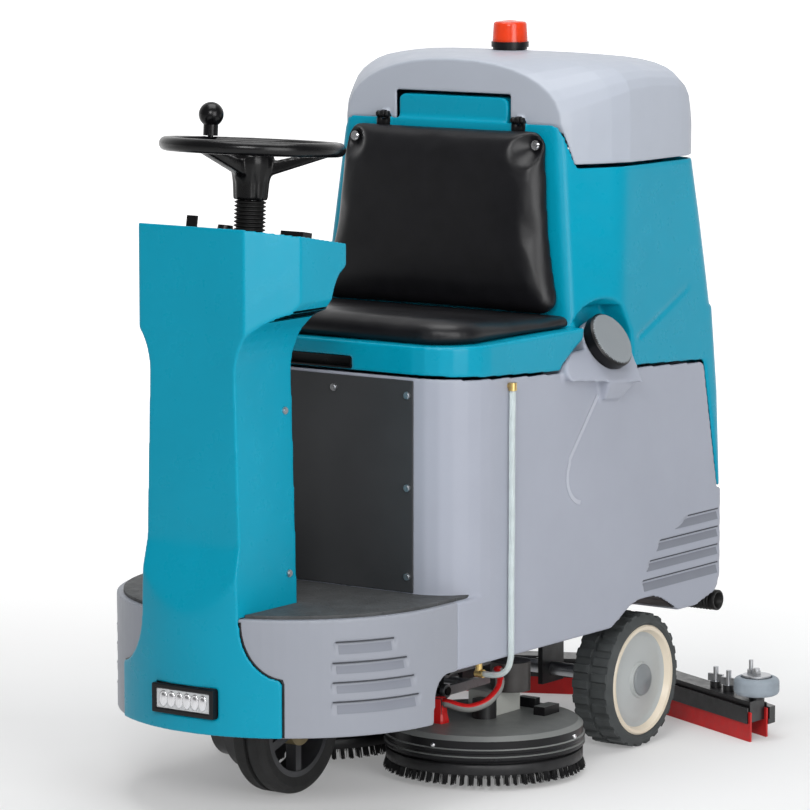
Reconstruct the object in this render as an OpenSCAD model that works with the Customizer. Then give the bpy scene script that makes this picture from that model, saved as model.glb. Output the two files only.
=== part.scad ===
// Ride-on floor scrubber: a seated machine with a front drive wheel, two disc brushes under the
// belly, a squeegee behind, and a recovery tank that tilts back with the seat.
// Millimetres. X is across the machine (+X is its left side), the front faces -Y, Z is up.
// Y is measured from the front wheel's contact point and shifted to the middle of the machine.

/* [Running gear] */
// Distance between the front and rear wheel centres
wheelbase = 690; // [660:5:720]
// Outer diameter of the rear wheels
rear_wheel_d = 250; // [236:2:260]
// Width of the rear tyres
rear_wheel_w = 88; // [70:2:96]
// Outer diameter of the front drive wheel
drive_wheel_d = 238; // [220:2:244]
// Width of the front drive wheel
drive_wheel_w = 68; // [60:2:100]
// Diameter of the rear axle
axle_d = 25; // [20:1:30]
// Room between a rear wheel and its arch
arch_gap = 30; // [22:1:36]

/* [Body and base] */
// Width of the body across its sides
body_w = 630; // [610:2:660]
// Front wall of the body behind the front wheel centre
body_front = 80; // [70:1:90]
// Rear wall of the body behind the rear wheel centres
rear_overhang = 277; // [262:1:290]
// Height of the body's floor
body_floor = 239; // [236:1:246]
// Radius of the body's front corners
body_corner_r = 100; // [70:1:120]
// Radius of the body's rear corners
rear_corner_r = 24; // [16:1:40]
// Wall of the grey mouldings
shell_wall = 7; // [5:0.5:9]
// Centre of the round nose behind the front wheel centre
nose_center = 29; // [20:1:40]
// Height of the base's lower edge
base_bottom = 155; // [145:1:165]
// Height of the base's top face
base_top = 360; // [352:1:370]
// Thickness of the foot mat
mat_h = 6; // [3:0.5:10]
// Height of the seam under the seat rim, at the front
seam_front = 748; // [740:1:756]
// Height of that seam at the rear corner
seam_back = 700; // [690:1:710]
// Gap along the seam
seam_gap = 3; // [2:0.5:5]

/* [Seat and recovery tank] */
// Height of the seat rim's top
rim_top = 802; // [792:1:812]
// Wall of the teal mouldings
tank_wall = 6; // [4:0.5:8]
// Foot of the tank's front face behind the front wheel centre
tank_front = 487; // [478:1:496]
// Backward lean of the tank's front face in degrees
tank_lean = 3.5; // [2.5:0.1:4]
// Height of the tank's front wall
tank_top = 1163; // [1150:1:1170]
// Height of the tank's side walls under the lid
tank_side_top = 1083; // [1070:1:1090]
// Gap between the tank and the lid
lid_gap = 5; // [3:0.5:8]
// Crown of the lid above the tank's front wall
lid_rise = 118; // [105:1:130]
// Thickness of the seat cushion
seat_h = 40; // [30:1:48]
// Thickness of the backrest
backrest_t = 48; // [36:1:56]
// Diameter of the beacon
beacon_d = 70; // [56:1:80]
// Height of the beacon
beacon_h = 55; // [40:1:70]
// Diameter of the filler cap
cap_d = 106; // [96:1:110]

/* [Front column] */
// Front face of the column ahead of the front wheel centre
column_front = 264; // [258:1:270]
// Rear face of the column ahead of the front wheel centre
column_rear = 103; // [95:1:110]
// Width of the column at its foot
column_w = 208; // [190:2:220]
// Width of the cowl on top of the column
cowl_w = 344; // [330:2:360]
// Rear edge of the cowl ahead of the front wheel centre
cowl_rear = 50; // [40:1:60]
// Height of the cowl's front edge
cowl_top = 1027; // [1015:1:1035]
// Wall of the front cowl
cowl_wall = 4; // [3:0.5:5]

/* [Steering] */
// Outer diameter of the steering wheel
steer_d = 324; // [300:2:340]
// Thickness of the steering wheel's rim
steer_rim_t = 25; // [20:1:28]
// Backward tilt of the steering shaft in degrees
steer_tilt = 4; // [2:0.5:5]
// Diameter of the steering shaft
shaft_d = 20; // [16:1:22]
// Pitch radius of the sprocket on the lower shaft
small_sprocket_r = 25; // [22:1:28]
// Kingpin sprocket radius over the lower sprocket radius
steer_ratio = 3; // [2.6:0.1:3.2]
// Diameter of the kingpin
king_d = 40; // [34:1:44]

/* [Brush deck] */
// Diameter over the bristle tips
brush_d = 370; // [340:2:374]
// Distance of each brush from the machine's middle
brush_x = 190; // [188:1:200]
// Brush centres behind the front wheel centre
brush_y = 345; // [340:1:355]
// Height of the bristle tips with the deck raised
brush_lift = 10; // [6:1:14]
// Free length of the bristles
bristle_h = 38; // [30:1:42]
// Length of the deck's lifting arms
arm_l = 170; // [160:1:180]
// Diameter of the pivot pins
pin_d = 16; // [12:1:18]

/* [Squeegee] */
// Half width of the squeegee frame
squeegee_half = 450; // [430:5:460]
// Apex of the squeegee behind the front wheel centre
squeegee_apex = 1082; // [1070:1:1100]
// How far the squeegee's ends lie ahead of its apex
squeegee_sweep = 214; // [200:2:224]
// Height of the squeegee blades
blade_h = 55; // [45:1:60]
// Diameter of the wall rollers
roller_d = 86; // [70:2:90]

/* [Fits] */
// Radial clearance of shafts and pins that turn
run_fit = 0.05; // [0.02:0.01:0.08]
// Gap between pieces that move past each other
move_gap = 1; // [0.5:0.1:2]

/* [Hidden] */
$fn = 48;
eps = 0.01;
half_w = body_w / 2;
axle_z = rear_wheel_d / 2;
body_back = wheelbase + rear_overhang;
arch_r = axle_z + arch_gap;
drive_z = drive_wheel_d / 2;
front_reach = -column_front;
skirt_t = 5;
skirt_gap = 1;
skirt_r = half_w + skirt_gap + skirt_t;
light_proud = 4;
nose_front = nose_center - skirt_r - light_proud;
frame_half_t = 26;
blade_t = 6;
clamp_t = 4;
squeegee_back = squeegee_apex + frame_half_t + blade_t + clamp_t;
frame_shift = -(nose_front + squeegee_back) / 2;

// Tank tilt hinge along the body's rear edge
hinge_r = 6;
hinge_y = body_back + hinge_r + 1;
hinge_z = 452;
// Lid hinge in front of the tank's front wall
lid_hinge_y = tank_front + (tank_top - rim_top) * tan(tank_lean) - 3;
lid_hinge_z = tank_top + 4;
// Steering axis through the wheel's hub
hub_y = -91;
hub_z = 1131;
dash_slope = 37 / 215;
dash_drop = 4;
shaft_foot = -700;
lower_y = hub_y + (shaft_foot - 12) * sin(steer_tilt);
lower_top = hub_z + (shaft_foot - 12) * cos(steer_tilt);
big_sprocket_r = small_sprocket_r * steer_ratio;
// Frame levels
rail_h = 38;
rail_bottom = body_floor - rail_h;
rail_back = body_back - 100;
rail_in = 60;
rail_out = 100;
head_t = 12;
head_top = base_top - shell_wall;
chain_z = 266;
chain_h = 6;
fork_plate_z = drive_wheel_d + 12;
// Deck levels, with the deck raised
disc_bottom = brush_lift + bristle_h;
cover_top = disc_bottom + 50;
cover_r = brush_d / 2 - 5;
arm_rear_y = 600;
arm_front_y = arm_rear_y - arm_l;
arm_low_z = cover_top + 18;
arm_high_z = arm_low_z + 38;
arm_x = 40;
arm_t = 10;
horn = 30;
motor_h = 96;
motor_r = 36;
motor_at = [14, 64];
// Squeegee levels
squeegee_pivot_y = wheelbase + 90;
squeegee_pivot_z = 170;
squeegee_low = 34;
squeegee_top = 74;
roller_up = 8;
roller_h = 34;
// Filler cap axis on the left side
cap_tilt = 32;
cap_at = [half_w + 3, 551, 771];
boss_gap = 5;

TEAL = "#0b95b4";
GREY = "#a3a6b2";
LID_GREY = "#acb2be";
DARK = "#3c3f42";
BLACK = "#1a1b1d";
STEEL = "#8d9094";

// Shapes that repeat

function unit(v) = v / norm(v);
function arc(c, r, a0, a1, n = 8) =
    [for (i = [0:n]) c + r * [cos(a0 + (a1 - a0) * i / n), sin(a0 + (a1 - a0) * i / n)]];
function oval(c, rx, ry, a0, a1, n = 8) =
    [for (i = [0:n]) c + [rx * cos(a0 + (a1 - a0) * i / n), ry * sin(a0 + (a1 - a0) * i / n)]];
// Arc of radius r that rounds the corner at p between the points a and b
function corner(p, a, b, r, n) =
    let (
        u = unit(a - p),
        v = unit(b - p),
        half = acos(max(-1, min(1, u * v))) / 2,
        c = p + unit(u + v) * r / sin(half),
        s = p + u * r / tan(half) - c,
        e = p + v * r / tan(half) - c,
        a0 = atan2(s.y, s.x),
        turn = (atan2(e.y, e.x) - a0 + 540) % 360 - 180
    )
    [for (i = [0:n]) c + r * [cos(a0 + turn * i / n), sin(a0 + turn * i / n)]];
function rounded(pts, radii, n = 6) =
    let (k = len(pts))
    [for (i = [0:k - 1]) each radii[i] > 0
        ? corner(pts[i], pts[(i + k - 1) % k], pts[(i + 1) % k], radii[i], n)
        : [pts[i]]];
// A right-hand outline and its mirror image as one closed outline
function both(pts) = concat(pts, [for (i = [len(pts) - 1:-1:0]) [-pts[i].x, pts[i].y]]);
function twice(r) = concat(r, [for (i = [len(r) - 1:-1:0]) r[i]]);
function level(pts, z) = [for (p = pts) [p.x, p.y, z]];

module at_frame() translate([0, frame_shift, 0]) children();
module sides() for (s = [-1, 1]) scale_x(s) children();
module scale_x(s) if (s > 0) children(); else mirror([1, 0, 0]) children();
module slab(z0, z1) translate([0, 0, z0]) linear_extrude(z1 - z0) children();
// Outline in Y and Z, drawn from x0 to x1
module side_prism(x0, x1, pts)
    translate([x0, 0, 0]) rotate([90, 0, 90]) linear_extrude(x1 - x0) polygon(pts);
// Outline in X and Z, drawn from y0 to y1
module front_prism(y0, y1, pts)
    translate([0, y1, 0]) rotate([90, 0, 0]) linear_extrude(y1 - y0) polygon(pts);
module rod_x(r, x0, x1, y, z) translate([x0, y, z]) rotate([0, 90, 0]) cylinder(r = r, h = x1 - x0);
module rod_y(r, y0, y1, x, z) translate([x, y1, z]) rotate([90, 0, 0]) cylinder(r = r, h = y1 - y0);
module rod_z(r, z0, z1, x, y) translate([x, y, z0]) cylinder(r = r, h = z1 - z0);
module box(a, b) translate(a) cube(b - a);
// Skin through closed rings of equal length, capped at both ends
module loft(rings) {
    n = len(rings[0]);
    m = len(rings);
    skin = [for (i = [0:m - 2]) for (j = [0:n - 1])
        let (a = i * n + j, b = i * n + (j + 1) % n)
        each [[a, a + n, b], [b, a + n, b + n]]];
    polyhedron(
        [for (r = rings) each r],
        concat(skin, [[for (j = [0:n - 1]) j]], [[for (j = [n - 1:-1:0]) (m - 1) * n + j]]),
        convexity = 8
    );
}
module bolt_head(r, h) {
    cylinder(r = r, h = h * 0.6);
    cylinder(r = r * 0.72, h = h);
}

// Outlines shared by the mouldings

function seam_z(y) = seam_front + (seam_back - seam_front) * (y - body_front) / (seam_y - body_front);
seam_y = body_back - 80;
seam_foot = [body_back - 28, hinge_z + 4];
// Seam between the grey body and the teal tank, seen from the side, moved by g
function seam(g) = concat(
    [[body_front - 20, seam_z(body_front - 20) + g]],
    corner([seam_y + g, seam_back + g], [body_front, seam_front + g], seam_foot + [g, g], 14, 4),
    [seam_foot + [g, g], [body_back + 20, hinge_z - 2 + g]]
);
function body_plan(t, front_r) = rounded(
    both([[half_w - t, body_front + t], [half_w - t, body_back - t]]),
    twice([max(front_r - t, 1), max(rear_corner_r - t, 1)])
);
function rear_y(z) = lookup(z, [
    [hinge_z, body_back], [640, body_back - 12], [813, body_back - 35],
    [960, body_back - 62], [1088, body_back - 89], [1190, body_back - 115]
]);
function rim_ring(z, t) = rounded(
    both([[half_w - t, body_front + t], [half_w - t, rear_y(z) - t]]),
    twice([body_corner_r - t, rear_corner_r + 6 - t])
);
function front_y(z) = tank_front + (z - rim_top) * tan(tank_lean);
function front_half(z) = lookup(z, [[rim_top, half_w - 37], [tank_top, half_w - 80]]);
function side_half(z) = lookup(z, [[rim_top, half_w], [tank_side_top, half_w - 9]]);
function tank_ring(z, t) = rounded(
    both([
        [front_half(z) - t, front_y(z) + t],
        [side_half(z) - t, front_y(z) + 112],
        [side_half(z) - t, rear_y(z) - t]
    ]),
    twice([24 - t, 90 - t, rear_corner_r + 16 - t])
);
tank_levels = [rim_top - 1, 850, 900, 960, 1020, tank_side_top, 1125, tank_top + 2];
// Top edge of the tank seen from the side, moved up by g
function tank_edge(g) = [
    [tank_front - 40, tank_top + g], [front_y(tank_top) + 2 + g / 2, tank_top + g],
    [front_y(tank_top) + 26 + g / 2, tank_side_top + g], [body_back, tank_side_top + g]
];
lid_y = front_y(tank_top) + 6;
lid_len = rear_y(tank_side_top) - lid_y - 4;
lid_stations = [0, 14, 44, 84, 124, 184, 284, 314, 332, 340];
function lid_half(s) = lookup(s, [
    [0, half_w - 77], [14, half_w - 65], [44, half_w - 46], [84, half_w - 25], [124, half_w - 12],
    [184, half_w - 9], [284, half_w - 9], [314, half_w - 11], [332, half_w - 19], [340, half_w - 30]
]);
function lid_crown(s) = tank_top + lid_rise + lookup(s, [
    [0, -8], [14, -5], [44, -2], [84, 0], [184, 0], [284, -9], [314, -25], [332, -56], [340, -86]
]);
function lid_shoulder(s) = tank_top + lookup(s, [
    [0, -3], [44, 3], [84, 9], [124, 15], [184, 17], [284, 12], [314, 2], [340, -23]
]);
function lid_power(s) = lookup(s, [[0, 2.2], [44, 2.6], [84, 3.2], [124, 3.8], [184, 4.2], [284, 4.2], [340, 3.4]]);
function lid_ring(s, t) =
    let (w = lid_half(s) - t, low = lid_shoulder(s) - t, top = lid_crown(s) - t, k = 2 / lid_power(s))
    [for (p = concat(
        [[-w, tank_side_top - 20]],
        [for (i = [0:18]) let (a = 180 - 10 * i)
            [w * sign(cos(a)) * pow(abs(cos(a)), k), low + (top - low) * pow(sin(a), k)]],
        [[w, tank_side_top - 20]]
    )) [p.x, lid_y + s * lid_len / 340, p.y]];
// Front view of the cowl, right half from the foot up, inset by t
function cowl_half(t) = concat(
    [[171 - t, base_bottom], [171 - t, 250]],
    oval([180, base_top - 5], 180 - column_w / 2 + t, 100 + t, 262, 180, 6),
    [[column_w / 2 - 12 - t, 770]],
    oval([cowl_w / 2 + 12, 775], cowl_w / 2 + 24 - column_w / 2 + t, 108, 180, 104, 7),
    [[cowl_w / 2 - t, 898], [cowl_w / 2 - t, cowl_top + 40]]
);
// Rear edge of the column and cowl, from the foot up, moved inward by t
function cowl_back(t) = concat(
    [[-column_rear - t, base_top], [-column_rear - t, 772]],
    oval([-cowl_rear + 2, 840], column_rear - cowl_rear - 2 + t, 108 + t, 180, 100, 7),
    [[-cowl_rear - t, 952 + t]]
);
function dash_z(y) = cowl_top - (y + column_front) * dash_slope;
// Side view of the cowl, inset by t at the front and by drop at the top
function cowl_side(t, drop) = concat(
    cowl_back(0),
    [[-cowl_rear, dash_z(-cowl_rear) - drop], [front_reach + t, dash_z(front_reach) - drop]],
    [[front_reach + t, 480], [nose_center - skirt_r + t, base_top + 5], [nose_center - skirt_r + t, base_bottom]],
    [[-column_rear, base_bottom]]
);
function cowl_plan(t) = both([
    [cowl_w / 2 - 59 - t, front_reach - 60], [cowl_w / 2 - 59 - t * 0.6, front_reach + t],
    [cowl_w / 2 - t, front_reach + 82], [cowl_w / 2 - t, -cowl_rear + 5]
]);
// Cowl and column as one block, inset by t, with the top lowered by drop
module cowl_form(t, drop) {
    intersection() {
        front_prism(front_reach - 60, 0, both(cowl_half(t)));
        side_prism(-half_w, half_w, cowl_side(t, drop));
        union() {
            slab(470, cowl_top + 20) polygon(cowl_plan(t));
            slab(base_bottom, 475) translate([0, nose_center]) circle(r = skirt_r - t, $fn = 120);
        }
    }
}
module cap_axis() translate(cap_at) rotate([0, 90 - cap_tilt, 0]) children();
module steer_axis() translate([0, hub_y, hub_z]) rotate([-steer_tilt, 0, 0]) children();
module dash_axis(x, y)
    translate([x, y, dash_z(y) - dash_drop]) rotate([-atan(dash_slope), 0, 0]) children();

// Frame and mouldings

module chassis_frame() at_frame() color(DARK) {
    difference() {
        union() {
            sides() {
                box([rail_in, 135, rail_bottom], [rail_out, rail_back, body_floor]);
                box([rail_out, wheelbase - 36, axle_z - 26], [rail_out + 10, wheelbase + 36, body_floor]);
                box([22, arm_rear_y - 18, arm_low_z - 16], [30, arm_rear_y + 22, rail_bottom + 6]);
                rod_x(pin_d / 2, 22, arm_x + arm_t + 2, arm_rear_y, arm_low_z);
                rod_x(pin_d / 2, 22, arm_x + arm_t + 2, arm_rear_y, arm_high_z);
                box([32, squeegee_pivot_y - 16, squeegee_pivot_z - 16],
                    [40, squeegee_pivot_y + 16, rail_bottom + 6]);
            }
            box([-rail_out, arm_rear_y - 18, rail_bottom], [rail_out, arm_rear_y + 40, rail_bottom + 12]);
            box([-rail_out, squeegee_pivot_y - 16, rail_bottom],
                [rail_out, squeegee_pivot_y + 22, rail_bottom + 12]);
            rod_x(pin_d / 2, -40, 40, squeegee_pivot_y, squeegee_pivot_z);
            box([-rail_out, 135, rail_bottom], [rail_out, 147, head_top]);
            box([-rail_out, lower_y - 40, head_top - head_t], [rail_out, 147, head_top]);
            rod_z(king_d / 2 + 12, chain_z + chain_h + 4, head_top, 0, 0);
            rod_z(shaft_d / 2 + 10, chain_z + chain_h + 14, head_top, 0, lower_y);
        }
        rod_z(king_d / 2 + run_fit, 0, head_top + 1, 0, 0);
        rod_z(shaft_d / 2 + run_fit, 0, head_top + 1, 0, lower_y);
        rod_x(axle_d / 2 + run_fit, -half_w, half_w, wheelbase, axle_z);
    }
}

function base_plan(t) = both(concat(
    arc([0, nose_center], half_w - t, -90, 0, 24), [[half_w - t, body_front]]
));
// Groove profile beside x, deep under its top edge and running out at its foot
function groove(x, z0, z1) = [
    [x + 6, z0 - 1], [x + 0.2, z0], [x - groove_t, z1 - 5], [x - groove_t, z1], [x + 6, z1]
];
groove_t = shell_wall - 2;
// Inner face of the thicker wall behind the grooves
groove_back = half_w - shell_wall - 5;
module nose_ring(pts, a0, a1)
    translate([0, nose_center, 0]) rotate([0, 0, a0]) rotate_extrude(angle = a1 - a0) polygon(pts);
module louvre(z0, z1, a0, a1) nose_ring(groove(half_w, z0, z1), a0, a1);
module base_shell() at_frame() color(GREY) {
    wall = half_w - shell_wall;
    difference() {
        union() {
            difference() {
                slab(base_bottom, base_top) polygon(base_plan(0));
                slab(base_bottom - 1, base_top - shell_wall) polygon(base_plan(shell_wall));
                box([-wall, body_front - 5, base_bottom - 1], [wall, body_front + 1, base_top - shell_wall]);
            }
            sides() nose_ring([[groove_back, 186], [wall + 1, 186], [wall + 1, 330], [groove_back, 330]], -46, -4);
        }
        side_prism(-half_w - 1, half_w + 1, concat(
            [[10, base_bottom - 1], [14, body_floor - 40]],
            arc([54, body_floor - 40], 40, 180, 90, 6),
            [[body_front + 1, body_floor], [body_front + 1, base_bottom - 1]]
        ));
        rod_z(shaft_d / 2 + 4, base_top - 20, base_top + 1, 0, lower_y);
        sides() {
            louvre(298, 322, -41, -20);
            louvre(264, 286, -42, -15);
            louvre(230, 252, -42, -12);
            louvre(194, 218, -42, -10);
        }
    }
}

function arch_outline(r, foot) = concat(
    [[wheelbase - r - 8, foot]],
    let (a = asin((body_floor + 14 - axle_z) / r)) arc([wheelbase, axle_z], r, 180 - a, a, 14),
    [[wheelbase + r + 8, foot]]
);
function on_boss(r, z) = [hinge_y - sqrt(r * r - pow(z - hinge_z, 2)), z];
// Side view of the filler boss, grown by g; its front narrows upward, so the tank lifts off it
boss_front = [[726, 633], [742, 630], [768, 607], [796, 579]];
function boss_outline(g) = concat(
    [[hinge_y - 565 - g, 714 - g * 4]],
    [for (p = boss_front) on_boss(p[1] + g, p[0])],
    [[520, 828 + g], [598 + g, 828 + g], [630 + g, 775 + g], [634 + g, 745], [622 + g, 692 - g * 4]]
);
module filler_boss() {
    difference() {
        intersection() {
            union() {
                side_prism(half_w - 47, half_w + 37, boss_outline(0));
                filler_spout();
            }
            cap_axis() translate([0, 0, -240]) linear_extrude(226) {
                circle(r = cap_d / 2 - 1);
                translate([0, -200]) square([200, 400]);
            }
        }
        cap_axis() translate([0, 0, -90]) cylinder(r = cap_d / 2 - 14, h = 100);
    }
}
// Drip spout under the boss
module filler_spout() intersection() {
    side_prism(half_w - 4, half_w + 30, [[514, 716], [622, 704], [588, 661], [530, 667]]);
    front_prism(500, 640, [
        [half_w - 4, 650], [half_w - 4, 720], [half_w + 28, 720], [half_w + 26, 695], [half_w + 4, 655]
    ]);
}
// Room around the boss and its cap, grown by g
module filler_recess(g) {
    side_prism(half_w - 47 - boss_gap - g, half_w + 20, boss_outline(boss_gap + g));
    cap_axis() translate([0, 0, -16 - g]) cylinder(r = cap_d / 2 + 23 + g, h = 200);
}
// Fixed half of the tank's tilt hinge, with its pin
module body_knuckle() sides() {
    rod_x(hinge_r, 119, 181, hinge_y, hinge_z);
    rod_x(3, 59, 241, hinge_y, hinge_z);
    box([119, body_back - 1, hinge_z - 14], [181, hinge_y, hinge_z - 2]);
    box([119, hinge_y - 4, hinge_z - 14], [181, hinge_y + 3, hinge_z]);
}
// Pressed line in the side, falling from the filler and turning back at its foot
module side_crease(x) {
    side_prism(x, half_w + 1, [[521, 680], [531, 676], [435, 568], [426, 569]]);
    intersection() {
        difference() {
            rod_x(54, x, half_w + 1, 474, 536);
            rod_x(45, x - 1, half_w + 2, 474, 536);
        }
        side_prism(x, half_w + 1, [[474, 536], [400, 586], [400, 470], [470, 470]]);
    }
}
rear_slots = [[393, 416, 782, 836], [360, 382, 722, 738], [326, 348, 688, 704], [290, 314, 684, 676]];
module body_shell() at_frame() color(GREY) {
    inner = concat(
        [[body_front + shell_wall, body_floor + shell_wall], [body_front + shell_wall, 800]],
        [[seam_y - shell_wall, 800], [seam_y - shell_wall, seam_back - 10]],
        [seam_foot - [shell_wall, 8], [body_back - 40, 310], [body_back - 68, 272]],
        [[body_back - 103, body_floor + shell_wall]]
    );
    difference() {
        union() {
            difference() {
                intersection() {
                    union() {
                        slab(body_floor - 10, base_top) polygon(body_plan(0, 1));
                        slab(base_top - 1, 800) polygon(body_plan(0, body_corner_r));
                    }
                    side_prism(-half_w, half_w, concat(
                        [[body_front, body_floor]],
                        seam(0),
                        [[body_back, hinge_z - 2], [body_back - 4, 296], [body_back - 32, 258]],
                        [[body_back - 103, body_floor]]
                    ));
                }
                intersection() {
                    slab(body_floor, 800) polygon(body_plan(shell_wall, body_corner_r));
                    side_prism(-half_w, half_w, inner);
                }
            }
            intersection() {
                sides() side_prism(half_w - rear_wheel_w - 24, half_w, arch_outline(arch_r + shell_wall, body_floor));
                slab(body_floor, 400) polygon(body_plan(0, 1));
            }
            filler_boss();
            sides() box([groove_back, rear_slots[3][2] - 20, 284], [half_w - shell_wall + 1, body_back - 30, 422]);
            box([-rail_out - 19, body_front, body_floor], [rail_out + 19, 159, base_top + 8]);
            body_knuckle();
        }
        box([-rail_out - 12, body_front - 1, body_floor - 1], [rail_out + 12, 152, base_top]);
        sides() {
            side_prism(half_w - rear_wheel_w - 16, half_w + 1, arch_outline(arch_r, body_floor - 20));
            for (s = rear_slots) intersection() {
                side_prism(half_w - 8, half_w + 1, [
                    [s[2], s[0]], [body_back, s[0]], [body_back, s[1]], [s[3], s[1]]
                ]);
                front_prism(body_front, body_back, groove(half_w, s[0], s[1]));
            }
            side_crease(half_w - 2.5);
        }
    }
}

module foot_mat() at_frame() color(DARK) {
    difference() {
        slab(base_top, base_top + mat_h) union() {
            polygon(both(concat(arc([0, nose_center], half_w - 12, -90, 0, 24), [[half_w - 12, body_front + 90]])));
        }
        slab(base_top - 1, base_top + mat_h + 1) {
            polygon(body_plan(-move_gap, body_corner_r));
            translate([-column_w / 2 - move_gap, front_reach - 40])
                square([column_w + 2 * move_gap, column_front + 40 - column_rear + move_gap]);
        }
    }
}

module fascia() at_frame() color(TEAL) {
    difference() {
        cowl_form(0, 0);
        intersection() {
            cowl_form(cowl_wall, -60);
            box([-half_w, -half_w, base_top - 1], [half_w, 0, cowl_top + 60]);
        }
        rod_z(half_w + skirt_gap, 0, base_top, 0, nose_center, $fn = 240);
        box([-light_w / 2, nose_front - 20, light_z - light_h / 2],
            [light_w / 2, nose_front + 30, light_z + light_h / 2]);
    }
}
module column_back() at_frame() color(BLACK) {
    difference() {
        intersection() {
            cowl_form(cowl_wall + 0.2, dash_drop + 9);
            side_prism(-half_w, half_w, concat(
                cowl_back(0.5), [[-cowl_rear - 0.5, cowl_top], [-cowl_rear - 5, cowl_top]], reverse(cowl_back(5))
            ));
        }
        box([-half_w, -half_w, 0], [half_w, 0, base_top + mat_h + move_gap]);
        steer_axis() translate([0, 0, shaft_foot]) cylinder(r = shaft_d / 2 + 2, h = -shaft_foot);
    }
    intersection() {
        steer_axis() difference() {
            translate([0, 0, -440]) cylinder(r = shaft_d / 2 + 6, h = 250);
            translate([0, 0, -441]) cylinder(r = shaft_d / 2 + 2, h = 252);
        }
        side_prism(-half_w, half_w, concat(
            reverse(cowl_back(5)), [[0, base_top], [0, 952]]
        ));
    }
}
function reverse(pts) = [for (i = [len(pts) - 1:-1:0]) pts[i]];
module dash_panel() at_frame() color(BLACK) {
    difference() {
        intersection() {
            cowl_form(cowl_wall + 0.2, dash_drop);
            side_prism(-half_w, half_w, [
                [front_reach, dash_z(front_reach)], [-cowl_rear, dash_z(-cowl_rear)],
                [-cowl_rear, dash_z(-cowl_rear) - dash_drop - 6],
                [front_reach, dash_z(front_reach) - dash_drop - 6]
            ]);
        }
        steer_axis() translate([0, 0, -300]) cylinder(r = column_tube_r + 0.3, h = 300);
        steer_axis() translate([0, 0, boot_foot]) cylinder(r = boot_r + 0.3, h = 100);
        dash_axis(key_at.x, key_at.y) translate([0, 0, -20]) cylinder(r = key_r + run_fit, h = 40);
        dash_axis(knob_at.x, knob_at.y) translate([0, 0, -20]) cylinder(r = 5 + run_fit, h = 40);
    }
}
column_tube_r = shaft_d / 2 + 6;
key_at = [-128, -100];
button_at = [-92, -98];
key_r = 11;
knob_at = [-54, -100];
rocker_at = [112, -116];
light_w = 134;
lamp_pitch = 17;
light_h = 52;
light_z = 211;

module steering_column() at_frame() color(STEEL) steer_axis() {
    difference() {
        union() {
            translate([0, 0, -200]) cylinder(r = column_tube_r, h = 82);
            translate([0, 0, -172]) cylinder(r = column_tube_r + 10, h = 10);
        }
        translate([0, 0, shaft_foot]) cylinder(r = shaft_d / 2 + run_fit, h = -shaft_foot);
    }
}
boot_ribs = 9;
boot_foot = -136;
boot_r = 30;
module steering_boot() at_frame() color(BLACK) steer_axis() {
    pitch = 60 / boot_ribs;
    rotate_extrude() polygon(concat(
        [[column_tube_r + 0.3, -76], [column_tube_r + 0.3, boot_foot], [boot_r, boot_foot]],
        [for (i = [0:boot_ribs - 1]) each [[23, -134 + pitch * i + 1], [28, -134 + pitch * (i + 0.5)]]],
        [[23, -76]]
    ));
}

module headlight_bezel() at_frame() color(BLACK) {
    difference() {
        box([-light_w / 2 + 0.3, nose_front, light_z - light_h / 2 + 0.3],
            [light_w / 2 - 0.3, nose_front + 24, light_z + light_h / 2 - 0.3]);
        rod_z(half_w + skirt_gap, 0, base_top, 0, nose_center, $fn = 240);
        box([-light_w / 2 + 9, nose_front - 1, light_z - light_h / 2 + 9],
            [light_w / 2 - 9, nose_front + 6, light_z + light_h / 2 - 9]);
    }
}
module headlight_lens() at_frame() color("#e8edf2") {
    union() {
        box([-light_w / 2 + 9.3, nose_front + 3, light_z - light_h / 2 + 9.3],
            [light_w / 2 - 9.3, nose_front + 6, light_z + light_h / 2 - 9.3]);
        for (i = [-2.5:1:2.5]) rod_y(7, nose_front + 1.5, nose_front + 4, i * lamp_pitch, light_z);
    }
}

kick_half = half_w - body_corner_r + 6;
kick_t = 4;
module kick_panel() at_frame() color(DARK) {
    box([-kick_half, body_front - kick_t, base_top + mat_h + 2], [kick_half, body_front - 0.2, seam_front - 6]);
}
kick_bolts = [[kick_half - 11, 716], [kick_half - 11, 553], [kick_half - 11, 396], [52, 719]];
module fixings() at_frame() color(STEEL) {
    pedal_bracket();
    sides() {
        for (p = kick_bolts)
            translate([p.x, body_front - kick_t, p.y]) rotate([90, 0, 0]) bolt_head(6.5, 5);
        for (z = [420, 703])
            translate([column_w / 2 - (z - base_top) * 12 / 410, -126, z])
                rotate([0, 90 - 1.7, 0]) bolt_head(6.5, 5);
    }
}
module battery_pack() at_frame() color(BLACK) {
    sides() for (y = [230, 500]) {
        box([6, y, body_floor + shell_wall], [186, y + 262, body_floor + shell_wall + 250]);
        for (x = [40, 150]) rod_z(9, body_floor + shell_wall + 249, body_floor + shell_wall + 270, x, y + 131);
    }
}

// Clear level tube on the left side, from its top fitting to the elbow under the floor
tube_d = 11;
tube_route = [
    [323, 236, 716], [323, 236, 690], [323, 235.5, 660], [323, 235, 630], [323, 235, 600], [323, 235, 570],
    [323, 235, 540], [323, 235, 510], [323, 235, 480], [323, 235, 450], [323, 234.5, 420], [323, 234, 390],
    [323, 234, 360], [323, 234, 330], [323, 234, 300], [323, 234, 275], [323, 234, 254], [322, 234, 238],
    [318, 234, 224], [310, 234, 213], [298, 234, 206.5], [282, 234, 204], [264, 234, 204]
];
function tube_ring(i, r) =
    let (
        k = len(tube_route),
        d = unit(tube_route[min(i + 1, k - 1)] - tube_route[max(i - 1, 0)]),
        u = unit(cross([0, 1, 0], d)),
        v = cross(d, u)
    )
    [for (j = [0:9]) tube_route[i] + r * (u * cos(36 * j) + v * sin(36 * j))];
module level_tube() at_frame() color("#dfe8ea")
    loft([for (i = [0:len(tube_route) - 1]) tube_ring(i, tube_d / 2)]);
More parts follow.
